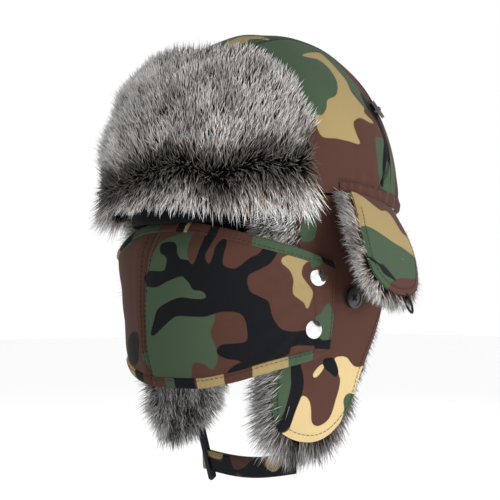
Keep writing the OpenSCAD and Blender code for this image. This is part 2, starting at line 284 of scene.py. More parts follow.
def camo_material(name, tan):
    """Printed cloth: brown, with green, tan and dark patches where their fields are positive."""
    material, nodes, links, shader = new_material(name, 0.72)
    colour = BROWN
    for field, patch in (("camo_green", OLIVE), ("camo_tan", tan), ("camo_dark", DARK)):
        value = add_node(nodes, "ShaderNodeAttribute", attribute_name=field)
        sharp = map_range(nodes, links, value.outputs["Fac"],
                          {"From Min": -PRINT_EDGE, "From Max": PRINT_EDGE})
        colour = mix_colour(nodes, links, sharp, colour, patch)
    weave = weave_bump(nodes, links, shader, 900, 0.25)
    # Painted highlight: the print lifts a little towards a pale grey where the weave's relief rises
    shade = map_range(nodes, links, weave, {"To Max": 0.006})
    colour = mix_colour(nodes, links, shade, colour, THREAD_HIGHLIGHT)
    links.new(colour, shader.inputs["Base Color"])
    shader.inputs["Sheen Weight"].default_value = 0.02
    shader.inputs["Specular IOR Level"].default_value = 0.06
    return material


def fur_material(name, roots, middle, tips):
    """Fur whose colour runs from root to tip, by the strand's own shade."""
    material, nodes, links, shader = new_material(name, 0.55)
    place = add_node(nodes, "ShaderNodeUVMap", uv_map="OFBake")
    parts = nodes.new("ShaderNodeSeparateXYZ")
    links.new(place.outputs["UV"], parts.inputs[0])
    ramps = []
    for dim in (0.10, 1.45):
        ramp = nodes.new("ShaderNodeValToRGB")
        stops = ((0.0, roots), (0.22, roots), (0.52, middle), (0.80, tips), (1.0, tips))
        while len(ramp.color_ramp.elements) < len(stops):
            ramp.color_ramp.elements.new(0.5)
        for element, (at, colour) in zip(ramp.color_ramp.elements, stops):
            element.position = at
            element.color = (*(min(c * dim, 1) for c in colour), 1)
        links.new(parts.outputs["Y"], ramp.inputs["Fac"])
        ramps.append(ramp.outputs["Color"])
    colour = mix_colour(nodes, links, parts.outputs["X"], *ramps)
    links.new(colour, shader.inputs["Base Color"])
    shader.inputs["Specular IOR Level"].default_value = 0.3
    return material


def plain_cloth(name, colour, roughness=0.85, scale=700):
    material, nodes, links, shader = new_material(name, roughness)
    weave = weave_bump(nodes, links, shader, scale, 0.3)
    # Painted highlight: the colour lightens where the weave's relief rises
    shade = map_range(nodes, links, weave, {"To Max": 0.25})
    lighter = tuple(min(1, 1.6 * c + 0.003) for c in colour)
    links.new(mix_colour(nodes, links, shade, colour, lighter), shader.inputs["Base Color"])
    shader.inputs["Sheen Weight"].default_value = 0.02
    shader.inputs["Specular IOR Level"].default_value = 0.08
    return material


def hard_material(name, colour, roughness, metallic=0.0, coat=0.0):
    """Metal or plastic with a faint uneven polish."""
    material, nodes, links, shader = new_material(name, roughness, metallic)
    place = nodes.new("ShaderNodeTexCoord")
    grain = nodes.new("ShaderNodeTexNoise")
    grain.inputs["Scale"].default_value = 260
    links.new(place.outputs["Object"], grain.inputs["Vector"])
    lighter = tuple(min(1, 1.15 * c + 0.004) for c in colour)
    links.new(mix_colour(nodes, links, grain.outputs["Fac"], colour, lighter),
              shader.inputs["Base Color"])
    add_bump(nodes, links, shader, grain.outputs["Fac"], 0.03)
    shader.inputs["Coat Weight"].default_value = coat
    return material


CAMO = camo_material("camo_print", TAN)
# The ear flaps' print, its tan painted lighter as painted light
CAMO_FLAP_PAINTED_LIGHT = camo_material("camo_print_painted_light", FLAP_TAN_PAINTED_LIGHT)
FUR = fur_material("fur_pile", (0.006, 0.005, 0.004), (0.36, 0.285, 0.235), (0.99, 0.87, 0.77))
FUR_GREY = fur_material("fur_grey_pile", (0.008, 0.007, 0.006), (0.19, 0.16, 0.14),
                        (0.90, 0.82, 0.75))
FUR_BACK = plain_cloth("fur_backing", (0.005, 0.004, 0.0035))
# Black lining cloth; also used for a sheet of painted shade under the front fold
LINING_AND_SHADE = plain_cloth("lining_and_shade_cloth", (0.003, 0.003, 0.004), 0.8)
WADDING = plain_cloth("wadding_fleece", (0.60, 0.60, 0.58))
TAPE = plain_cloth("narrow_tape", (0.012, 0.013, 0.020), 0.7, 1400)
THREAD = plain_cloth("thread", (0.012, 0.012, 0.014), 0.6, 2500)
ELASTIC = plain_cloth("elastic_cord", (0.010, 0.010, 0.012), 0.6, 2000)
CHROME = hard_material("snap_metal", (0.80, 0.80, 0.82), 0.12, 1.0)
BUTTON = hard_material("button_gloss", (0.014, 0.014, 0.017), 0.18, 0.0, 0.6)


# ---- the print ----

def outline_field(places, outlines):
    """How far each place is inside any of some smooth closed outlines, in mm."""
    best = np.full(len(places), -1e3)
    for outline in outlines:
        a = curve_through(outline, 5 * len(outline), closed=True)
        b = np.roll(a, -1, axis=0)
        d = b - a
        for start in range(0, len(places), 4000):
            p = places[start:start + 4000, None]
            t = np.clip(((p - a) * d).sum(-1) / np.maximum((d * d).sum(-1), 1e-9), 0, 1)
            far = np.linalg.norm(a + t[..., None] * d - p, axis=-1).min(axis=1)
            spans = (a[:, 1] > p[..., 1]) != (b[:, 1] > p[..., 1])
            rise = np.where(np.abs(d[:, 1]) < 1e-9, 1e-9, d[:, 1])
            cross = spans & (p[..., 0] < a[:, 0] + (p[..., 1] - a[:, 1]) / rise * d[:, 0])
            inside = cross.sum(axis=1) % 2 == 1
            part = slice(start, start + 4000)
            best[part] = np.maximum(best[part], np.where(inside, far, -far))
    return best


PATCH_LEVELS = {"camo_green": 0.25, "camo_tan": 0.80, "camo_dark": 0.75}   # higher is rarer
PATCH_WIDE, PATCH_DETAIL = 66, 24    # wavelengths of the made-up patches
PATCH_SLOPE, PATCH_REACH = 9, 12     # their edges' steepness, and where a field levels off


def print_camo(obj, places=None, outlines=None, weight=None, seed=0, stretch=1.0):
    """Lays the print on a piece: drawn outlines where weight is 1, made-up patches elsewhere.

    stretch turns a place's first number into mm, where it is an angle.
    """
    points = mesh_points(obj)
    for k, (field, level) in enumerate(PATCH_LEVELS.items()):
        values = (ripple(points * [1, 1, 1.25], PATCH_WIDE, 31 + k + seed)
                  + 0.35 * ripple(points, PATCH_DETAIL, 61 + k + seed) - level) * PATCH_SLOPE
        if outlines is not None:
            wide = np.array([stretch, 1.0])
            shapes = [np.array(shape) * wide for shape in outlines[field]]
            drawn = np.clip(outline_field(places * wide, shapes), -PATCH_REACH, PATCH_REACH)
            values = weight * drawn + (1 - weight) * np.clip(values, -PATCH_REACH, PATCH_REACH)
        set_field(obj, field, values)


# ---- stitches and cords ----

def tube_points(path, radius, sides=6):
    """Rings of points round a path."""
    path = np.asarray(path, float)
    along = unit(np.gradient(path, axis=0))
    up = np.tile([0.0, 0.0, 1.0], (len(path), 1))
    up[np.abs(along[:, 2]) > 0.9] = [1.0, 0.0, 0.0]
    side = unit(np.cross(along, up))
    up = np.cross(side, along)
    turn = np.linspace(0, 2 * math.pi, sides, endpoint=False)
    r = np.broadcast_to(radius, (len(path),))[:, None, None]
    return path[:, None] + r * (np.cos(turn)[None, :, None] * side[:, None]
                                + np.sin(turn)[None, :, None] * up[:, None])


def tube_faces(rows, sides, start=0):
    """The faces of a tube and its two ends, where its points count on from start."""
    last = start + (rows - 1) * sides
    ends = [[start + k for k in range(sides)], [last + k for k in range(sides - 1, -1, -1)]]
    return grid_faces(rows, sides, start, False, True).tolist() + ends


def tube(name, path, radius, material, sides=10):
    rings = tube_points(path, radius, sides)
    return add_mesh(name, rings.reshape(-1, 3), tube_faces(len(rings), sides), material)


def stitches(name, paths, material, length=2.3, space=1.1, radius=0.28, lift=0.12):
    """Dashes of thread along paths; each path is points and their outward normals."""
    points, faces = [], []
    sides = 5
    for path, outward in paths:
        along = run_along(path)
        for start in np.arange(space, along[-1] - length, length + space):
            at = start + length * np.array([0.0, 0.15, 0.5, 0.85, 1.0])
            p = points_at(path, along, at)
            out = points_at(outward, along, at)
            height = np.array([-0.35, 0.35, 0.55, 0.35, -0.35])[:, None] * radius + lift
            rings = tube_points(p + out * height, radius * np.array([0.5, 1, 1, 1, 0.5]), sides)
            faces += tube_faces(5, sides, len(points) * 5 * sides)
            points.append(rings.reshape(-1, 3))
    return add_mesh(name, np.concatenate(points), faces, material)


# ---- fur ----

def pile(name, roots, outward, comb, length, material, seed, width=0.8, jitter=0.28, tone=None,
         tuck=None):
    """Tapered strands of fur, each with two bent lengths, from roots along outward plus comb.

    tone shifts the strands' shade. tuck moves the places that would stand ahead of the cloth.
    """
    draw = np.random.default_rng(seed)
    n = len(roots)
    clump = np.stack([ripple(roots, 13, seed + k) for k in range(3)], axis=1) * 0.15
    way = unit(outward + comb + clump + draw.normal(size=(n, 3)) * jitter)
    bent = unit(way + comb * 0.8 + draw.normal(size=(n, 3)) * jitter * 0.8)
    long = (length * draw.uniform(0.65, 1.08, n))[:, None]
    side = unit(np.cross(way, draw.normal(size=(n, 3))))
    other = np.cross(way, side)
    middle = roots + way * long * 0.5
    tip = middle + bent * long * 0.5
    if tuck:
        middle, tip = tuck(middle), tuck(tip)
    turn = np.array([0, 2, 4]) * math.pi / 3
    ring = (np.cos(turn)[None, :, None] * side[:, None]
            + np.sin(turn)[None, :, None] * other[:, None])
    half = width / 2 * draw.uniform(0.7, 1.2, n)[:, None, None]
    points = np.concatenate([roots[:, None] + ring * half, middle[:, None] + ring * half * 0.8,
                             tip[:, None]], axis=1)
    one = np.array([[0, 1, 4], [0, 4, 3], [1, 2, 5], [1, 5, 4], [2, 0, 3], [2, 3, 5],
                    [3, 4, 6], [4, 5, 6], [5, 3, 6], [0, 2, 1]])
    faces = (one[None] + 7 * np.arange(n)[:, None, None]).reshape(-1, 3)
    mesh = bpy.data.meshes.new(name)
    mesh.vertices.add(n * 7)
    mesh.vertices.foreach_set("co", (points.reshape(-1) * MM).astype(np.float32))
    mesh.loops.add(len(faces) * 3)
    mesh.loops.foreach_set("vertex_index", faces.reshape(-1).astype(np.int32))
    mesh.polygons.add(len(faces))
    mesh.polygons.foreach_set("loop_start", np.arange(0, len(faces) * 3, 3, dtype=np.int32))
    mesh.polygons.foreach_set("use_smooth", np.ones(len(faces), bool))
    mesh.update(calc_edges=True)
    shade = draw.uniform(0, 1, n)
    if tone is not None:
        shade = np.clip(shade * 0.5 + 0.16 + tone, 0.02, 0.98)
    height = np.array([0, 0, 0, 0.5, 0.5, 0.5, 1.0])
    uv = mesh.uv_layers.new(name="OFBake")
    v = np.tile(height, n)[faces.reshape(-1)]
    u = np.repeat(shade, 7)[faces.reshape(-1)]
    uv.data.foreach_set("uv", np.stack([u, v], axis=1).reshape(-1).astype(np.float32))
    mesh.materials.append(material)
    obj = bpy.data.objects.new(name, mesh)
    bpy.context.scene.collection.objects.link(obj)
    return obj


def scatter(sheet, count, seed):
    """Random places on a grid of points, even by area, with their normals."""
    draw = np.random.default_rng(seed)
    normal = normals_of(sheet)
    area = cell_areas(sheet)
    cell = draw.choice(area.size, count, p=area.reshape(-1) / area.sum())
    i, j = np.divmod(cell, area.shape[1])
    a, b = draw.random((2, count, 1))

    def at(values):
        return ((1 - a) * (1 - b) * values[i, j] + a * (1 - b) * values[i + 1, j]
                + (1 - a) * b * values[i, j + 1] + a * b * values[i + 1, j + 1])

    return at(sheet), unit(at(normal))


def inside_places(draw, outline, middle, count, last):
    """Random places between a middle and an outline's first points, up to the last."""
    t = draw.integers(0, last, count)
    r = np.sqrt(draw.random(count))[:, None]
    return middle + r * (outline[t] - middle)


def rim_places(outline, middle, spot, depth):
    """Places in from an outline by a depth, and the way out of it at each."""
    k = spot.astype(int)
    f = (spot - k)[:, None]
    rim = outline[k] * (1 - f) + outline[k + 1] * f
    way = unit(outline[k + 1] - outline[k])
    out = np.stack([way[:, 1], -way[:, 0]], axis=1)
    out *= np.sign((out * (rim - middle)).sum(1))[:, None]
    return rim - out * depth[:, None], out


# ---- crown ----

def on_crown(points, off=0.0):
    """Pushes points out to the crown's surface, plus an offset."""
    way = points - CROWN_CENTRE
    size = np.linalg.norm(way / CROWN, axis=-1, keepdims=True)
    surface = way / np.maximum(size, 1e-9)
    normal = unit(surface / CROWN ** 2)
    return CROWN_CENTRE + surface + normal * np.asarray(off)[..., None], normal


def hem_height(y):
    return HEM_Z - np.where(y < 0, HEM_FALL_FRONT * np.abs(y), HEM_FALL_BACK * y)


def seam_x(y, z):
    return SEAM_X + SEAM_BY_Y * y - SEAM_BY_Z * z


def seam_arc(count, side=1):
    """The crown's seam from the hem at the front over to the hem at the back."""
    arc = []
    for turn in np.linspace(-12, 192, 1200):
        a = math.radians(turn)
        low, high = 0.0, 1.0
        for _ in range(30):
            x = (low + high) / 2
            ring = math.sqrt(max(1 - x * x, 0))
            p = CROWN_CENTRE + CROWN * [x, -ring * math.cos(a), ring * math.sin(a)]
            if p[0] < seam_x(p[1], p[2]):
                low = x
            else:
                high = x
        if p[2] >= hem_height(p[1]):
            arc.append(p)
    arc = np.array(arc)
    along = run_along(arc)
    return points_at(arc, along, np.linspace(0, along[-1], count)) * [side, 1, 1]


def crown_relief(points, seam_away):
    """Seam groove, soft puckers beside it, gathers over the band and loose waves."""
    groove = -1.2 * np.exp(-(seam_away / 1.3) ** 2)
    puff = 1.0 * np.exp(-((seam_away - 7) / 5) ** 2)
    waves = 0.35 * ripple(points, 40, 5)
    height = points[..., 2] - hem_height(points[..., 1])
    turn = np.arctan2(points[..., 1] / CROWN[1], points[..., 0] / CROWN[0])
    behind = smoothstep(-0.05, 0.25, turn) * smoothstep(math.pi + 0.05, math.pi - 0.25, turn)
    folds = np.sin(turn * 46 + 1.3 * np.sin(turn * 9)) * np.exp(-((height - 13) / 9) ** 2)
    return groove + puff + waves + 0.9 * folds * behind


SEAM_LEFT = seam_arc(200)
SEAM_RIGHT = seam_arc(200, -1)


def crown_side(side):
    """One arched side panel, as rings from the middle of its hem out to the seam."""
    seam = SEAM_LEFT if side > 0 else SEAM_RIGHT
    foot = np.array([side * CROWN[0], 0, HEM_Z])
    s = np.linspace(0, 1, 70) ** 0.9
    straight = foot + s[:, None, None] * (seam[None] - foot)
    flat, _ = on_crown(straight)
    away = np.linalg.norm(flat - seam[None], axis=-1)
    outer, _ = on_crown(flat, crown_relief(flat, away))
    inner, _ = on_crown(flat, np.full(flat.shape[:2], -CLOTH_T))
    obj = add_mesh("crown_cloth_" + side_word(side), *closed_sheet(outer, inner), CAMO)
    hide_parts("crown_side_panel_" + side_word(side))
    return obj


def crown_centre():
    """The wide centre band, from seam to seam."""
    u = np.linspace(0, 1, 150)
    straight = SEAM_RIGHT[None] + u[:, None, None] * (SEAM_LEFT - SEAM_RIGHT)[None]
    middle = CROWN_CENTRE[2]
    swell = (1 + 0.5 * np.sin(u * math.pi))[:, None]
    straight[..., 2] = middle + (straight[..., 2] - middle) * swell
    flat, _ = on_crown(straight)
    low = hem_height(flat[..., 1])
    flat[..., 2] = np.maximum(flat[..., 2], low)
    ring = np.sqrt(np.maximum(1 - ((flat[..., 2] - middle) / CROWN[2]) ** 2, 0))
    flat_ring = np.linalg.norm(flat[..., :2] / CROWN[:2], axis=-1)
    flat[..., :2] *= (ring / np.maximum(flat_ring, 1e-6))[..., None]
    away = np.minimum(np.linalg.norm(flat - SEAM_LEFT[None], axis=-1),
                      np.linalg.norm(flat - SEAM_RIGHT[None], axis=-1))
    outer, _ = on_crown(flat, crown_relief(flat, away))
    inner, _ = on_crown(flat, np.full(flat.shape[:2], -CLOTH_T))
    obj = add_mesh("crown_cloth_centre", *closed_sheet(outer, inner), CAMO)
    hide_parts("crown_centre_band")
    return obj


# Outlines of the print's patches, in Y and Z
CROWN_PRINT = {
    "camo_green": [
        [(-70, 130), (-70, 60), (-30, 48), (-17, 56), (-10, 63), (6, 73), (26, 80), (32, 72),
         (38, 66), (40, 74), (36, 88), (32, 98), (24, 112), (10, 130)],
        [(38, 44), (46, 47), (60, 46), (68, 38), (68, 8), (44, 8), (38, 14)]],
    "camo_tan": [
        [(-9, 104), (-2, 107), (14, 110), (18, 105), (22, 95), (25, 88), (24, 80), (30, 72),
         (34, 68), (32, 64), (42, 58), (36, 57), (24, 59), (15, 56), (13, 52), (15, 45), (17, 39),
         (6, 40), (-6, 41), (-20, 42), (-22, 56), (-16, 57), (-10, 63), (-7, 69), (2, 73),
         (6, 77), (9, 82), (11, 87), (11, 95), (8, 101), (4, 103), (-3, 103)],
        [(-54, 112), (-45, 119), (-36, 124), (-30, 122), (-20, 117), (-34, 117), (-44, 112)]],
    "camo_dark": [
        [(38, 80), (44, 80), (52, 67), (58, 53), (61, 42), (58, 34), (58, 22), (55, 10), (53, 10),
         (54, 28), (50, 30), (46, 22), (43, 10), (41, 12), (44, 28), (48, 38), (52, 46), (50, 56),
         (44, 64), (38, 70)]]}


def side_places(obj):
    """A piece's points in Y and Z, and in full."""
    points = mesh_points(obj)
    return points[:, 1:], points


def make_crown():
    for obj in (crown_centre(), crown_side(1), crown_side(-1)):
        places, points = side_places(obj)
        weight = smoothstep(-10, 20, points[:, 0]) * smoothstep(82, 64, points[:, 1])
        print_camo(obj, places, CROWN_PRINT, weight)
        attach(obj, "crown")
    rows = []
    for seam in (SEAM_LEFT, SEAM_RIGHT):
        for step in (3.2, -3.2):
            side = np.sign(seam[0, 0])
            path = seam + [side * step, 0, 0]
            path, normal = on_crown(path)
            relief = crown_relief(path, np.full(len(path), 3.2))
            rows.append((path + normal * relief[:, None], normal))
    obj = stitches("crown_stitches", rows, THREAD, 2.0, 1.0, 0.2)
    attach(obj, "crown")


def make_hem_band():
    """The gathered band: pleats, a stitched line near its top and a rolled lower edge."""
    reach = math.asin(BAND_FRONT_Y / CROWN[1])
    turn = np.linspace(reach, math.pi - reach, 700)
    v = np.linspace(0, 1, 15)
    y = CROWN[1] * np.sin(turn)
    x = CROWN[0] * np.cos(turn)
    low = hem_height(y) - 0.8
    z = low[:, None] + (BAND_H + 0.8) * v[None]
    base = np.stack([np.broadcast_to(x[:, None], z.shape),
                     np.broadcast_to(y[:, None], z.shape), z], axis=-1)
    base, normal = on_crown(base * [1.02, 1.02, 1])
    base[..., 2] = z
    pleat = np.sin(turn * 62 + 2.2 * np.sin(turn * 7) + 1.1 * np.sin(turn * 17))
    tuck = 1 - np.exp(-((v - 0.80) / 0.07) ** 2)
    roll = np.sin(np.clip(v * 1.15, 0, 1) * math.pi) ** 0.5
    off = 0.4 + (1.3 + 0.7 * pleat[:, None]) * tuck[None] * roll[None]
    outer = base + normal * off[..., None]
    inner = base - normal * 0.2
    obj = add_mesh("hem_gathers", *closed_sheet(outer, inner), CAMO)
    places, points = side_places(obj)
    weight = smoothstep(20, 50, points[:, 0]) * smoothstep(85, 60, points[:, 1])
    print_camo(obj, places, CROWN_PRINT, weight)
    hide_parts("hem_band")
    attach(obj, "crown")
    row = (base + normal * 0.7)[:, 12]
    line = stitches("hem_stitches", [(row, normal[:, 12])], THREAD, 2.6, 1.2, 0.25)
    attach(line, "crown")


# ---- front flap ----

FRONT_FOOT_Z, FRONT_HEAD_Z = -4.0, 97.0


def front_edge_y(z):
    """How far back the flap's fur reaches at each height."""
    return np.interp(z, [-14, 0, 40, 70, 92, 108], [-40, -36, -34, -37, -47, -62])


def front_surface(off_low, off_high, low, high, rows, cols, edge=0.0):
    """A grid over the front of the crown, from edge to edge, at an offset that may grow."""
    v = np.linspace(0, 1, rows)
    z = low + (high - low) * v
    sheet = np.zeros((rows, cols, 3))
    for i, height in enumerate(z):
        grow = off_low + (off_high - off_low) * v[i]
        lift = np.clip((height - CROWN_CENTRE[2]) / (CROWN[2] + grow), -0.4, 0.999)
        ring = math.sqrt(1 - lift * lift)
        a, b = (CROWN[0] + grow) * ring, (CROWN[1] + grow) * ring
        reach = math.asin(np.clip(-(front_edge_y(height) + edge) / b, 0.02, 0.999))
        turn = np.linspace(reach, math.pi - reach, cols)
        sheet[i] = np.stack([a * np.cos(turn), -b * np.sin(turn), np.full(cols, height)], axis=1)
    return sheet


def make_front_flap():
    outer = front_surface(5.4, 5.4, FRONT_FOOT_Z, FRONT_HEAD_Z, 60, 160, -10)
    inner = front_surface(4.0, 4.0, FRONT_FOOT_Z, FRONT_HEAD_Z, 60, 160, -10)
    cloth = add_mesh("front_flap_cloth", *closed_sheet(outer, inner), CAMO)
    print_camo(cloth, seed=3)
    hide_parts("front_flap_shell")
    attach(cloth, "front_flap")
    back_outer = front_surface(11, 13, -6, 100, 60, 160, -6)
    back_inner = front_surface(6, 6, -4, 97, 60, 160, -8)
    backing = add_mesh("front_fur_backing", *closed_sheet(back_outer, back_inner), FUR_BACK)
    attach(backing, "front_flap")
    make_front_fur(back_outer)


def make_front_fur(face):
    """Strands combed up above a wandering parting and down below it."""
    roots, out = scatter(face, 19500, 11)
    out = out * np.sign((out * (roots - [0, 0, 20])).sum(1))[:, None]
    z = roots[:, 2]
    part = 12 + 5 * ripple(roots * [1, 1, 0.2], 60, 8)
    upper = smoothstep(-3, 9, z - part)[:, None]
    side = (roots[:, 0] / 90)[:, None] * np.array([1.0, 0.55, 0])
    comb = upper * np.array([0, 0.0, 0.75]) + (1 - upper) * np.array([0, -0.1, -0.95]) + side * 0.25
    top = smoothstep(80, 100, z)[:, None]
    comb = comb + top * np.array([0, 0.35, 0.1])
    ends = smoothstep(20, 78, np.abs(roots[:, 0]))
    length = 13.5 + (0.5 + 8.5 * ends) * (1 - upper[:, 0]) + 1.5 * ripple(roots, 30, 9)
    length = length - 4.0 * smoothstep(66, 95, z) + 3.5 * ends * smoothstep(60, 10, z)
    length = length - 5.0 * np.exp(-((z - part) / 8) ** 2)
    tone = 0.10 * ripple(roots * [1, 1, 0.5], 22, 12) + 0.16
    tone = tone - 0.85 * np.exp(-((z - part - 3) / 9.5) ** 2)
    tone = tone + 0.10 * (1 - upper[:, 0])
    obj = pile("front_flap_pile", roots, out, comb, length, FUR, 21, 0.85, 0.30, tone)
    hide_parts("front_flap_fur")
    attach(obj, "front_flap")


def make_brow_painted_shade():
    """Painted shade: a black strip below the front fold, inside the hat, where only shadow falls.
    """
    def strip(off):
        z = np.linspace(-19, 6, 12)[:, None]
        turn = np.radians(np.linspace(18, 162, 120))[None]
        x = (CROWN[0] + off) * np.cos(turn) + 0 * z
        return np.stack([x, -(CROWN[1] + off) * np.sin(turn) + 0 * z, z + 0 * turn], axis=-1)

    # Painted shade: a black sheet in the gap under the front fold, where only shadow falls
    obj = add_mesh("brow_painted_shade", *closed_sheet(strip(-4.0), strip(-5.2)), LINING_AND_SHADE)
    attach(obj, "crown")


# ---- ear flaps ----

EAR_OUTLINE = [
    (-38, 0), (-42, -20), (-44, -48), (-49, -85), (-54, -125), (-54, -148), (-50, -160),
    (-40, -167), (-27, -169.5), (-15, -167), (-4, -160), (8, -148), (16, -131), (24, -117),
    (36, -99), (47, -80), (53, -60), (56, -30), (56, 0)
]


EAR_MIDDLE = np.array([-2.0, -75.0])
EAR_POINTS, EAR_STITCH = 260, 5      # points round the outline; the stitched line's inset
FUR_TOP = -8


def on_ear_flap(places, off=0.0):
    """Places in Y and Z on the left ear flap's leaning oval, at an offset."""
    y, z = places[..., 0], places[..., 1]
    a, b = CROWN[0], CROWN[1]
    x = a * np.sqrt(np.maximum(1 - (y / b) ** 2, 0))
    normal = unit(np.stack([x / a ** 2, y / b ** 2, 0 * y], axis=-1))
    points = np.stack([x, y, z], axis=-1) + normal * np.asarray(off)[..., None]
    c, s = math.cos(FLAP_LEAN), math.sin(FLAP_LEAN)

    def lean(p, about):
        q = p - about
        return about + np.stack([q[..., 0] * c + q[..., 2] * s, q[..., 1],
                                 -q[..., 0] * s + q[..., 2] * c], axis=-1)

    return lean(points, np.array([HINGE_X, 0, HEM_Z])), lean(normal, np.zeros(3))


def closed_outline(points, count, back_y, front_y, top_z, across):
    """A smooth outline through some points, closed by a straight line across its top."""
    top = np.stack([np.linspace(back_y, front_y, across), np.full(across, top_z)], axis=1)
    return np.concatenate([curve_through(points, count), top])


def stitch_groove(away, at):
    """The dip along a stitched line, by distance from the edge."""
    return -0.5 * np.exp(-((away - at) / 0.8) ** 2)


def rings_from_outline(outline, middle, rows):
    """Grid of places from a middle point out to an outline."""
    s = np.linspace(0, 1, rows) ** 0.8
    s[0] = 0.002
    middle = np.array(middle, float)
    return middle + s[:, None, None] * (outline[None] - middle), s


# Outlines of the left ear flap's patches, in Y and Z
EAR_PRINT = {
    "camo_green": [
        [(-60, -95), (-41, -95), (-41, -121), (-42, -130), (-44, -140), (-47, -149), (-52, -158),
         (-62, -158)],
        [(26, -137), (16, -138), (7, -137), (2, -141), (2, -150), (-1, -159), (-6, -172),
         (14, -168)],
        [(-38, -30), (-34, -12), (-28, 8), (-21, 8), (-24, -12), (-27, -30)]],
    "camo_tan": [
        [(-8, -113), (-3, -111), (4, -112), (10, -117), (16, -119), (32, -119), (24, -137),
         (14, -138), (7, -137), (2, -141), (2, -150), (-1, -159), (-6, -172), (-50, -178),
         (-53, -165), (-44, -161), (-41, -155), (-38, -146), (-35, -138), (-33, -137), (-29, -140),
         (-27, -146), (-26, -155), (-23, -158), (-19, -158), (-13, -155), (-9, -150), (-6, -142),
         (-3, -134), (-2, -127), (-4, -123)],
        [(-26, -123), (-22, -118), (-18, -116), (-17, -118), (-20, -122), (-24, -125)]],
    "camo_dark": [
        [(-42, -105), (-36, -105), (-35, -116), (-33, -125), (-34, -135), (-38, -146), (-42, -157),
         (-48, -162), (-53, -161), (-53, -158), (-47, -149), (-44, -139), (-42, -130), (-42, -121)],
        [(-18, -114), (-16, -112), (-9, -112), (-5, -118), (-4, -123), (-7, -125), (-12, -122),
         (-17, -118)]]}


def forward(places):
    """Carries places by the flap's upper front edge on ahead of the cloth, under the brow."""
    ahead = 17 * smoothstep(-12, -42, places[..., 0]) * smoothstep(-92, -58, places[..., 1])
    return places - ahead[..., None] * np.array([1.0, 0.0])


def below(places, top):
    """Places held under a height."""
    return np.stack([places[..., 0], np.minimum(places[..., 1], top)], axis=-1)


def make_ear_flap(side):
    outline = closed_outline(EAR_OUTLINE, EAR_POINTS, 54, -36, 0.5, 40)
    make_ear_flap_cloth(side, outline)
    make_ear_flap_fur(side, outline)


def make_ear_flap_cloth(side, outline):
    """The padded cloth, and the stitched line inside its edge."""
    word = side_word(side)
    body = "ear_flap_" + word
    flip = np.array([side, 1, 1])
    places, _ = rings_from_outline(outline, EAR_MIDDLE, 64)
    away = np.linalg.norm(places - outline[None], axis=-1)
    at_top = smoothstep(-14, -2, places[..., 1])
    puff = -1.4 + 1.1 * smoothstep(0, 6, away) * (1 - at_top) + 0.7 * at_top
    points, _ = on_ear_flap(places)
    groove = stitch_groove(away, EAR_STITCH) * (1 - at_top)
    waves = 0.5 * ripple(points, 55, 14)
    outer, _ = on_ear_flap(places, puff + groove + waves * smoothstep(2, 14, away))
    inner, _ = on_ear_flap(places, np.full(places.shape[:2], -2.7))
    cloth = add_mesh("ear_flap_cloth_" + word, *closed_rings(outer * flip, inner * flip), CAMO_FLAP_PAINTED_LIGHT)
    if side > 0:
        flat, pts = side_places(cloth)
        print_camo(cloth, flat, EAR_PRINT, np.ones(len(pts)), 1)
    else:
        print_camo(cloth, seed=4)
    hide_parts(body + "_shell")
    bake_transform(cloth)

    inset = outline + unit(EAR_MIDDLE - outline) * EAR_STITCH
    row, out = on_ear_flap(inset[20:240], np.full(220, -0.55))
    line = stitches("ear_flap_stitches_" + word, [(row * flip, out * flip)], THREAD, 2.4, 1.1, 0.2)
    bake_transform(line)


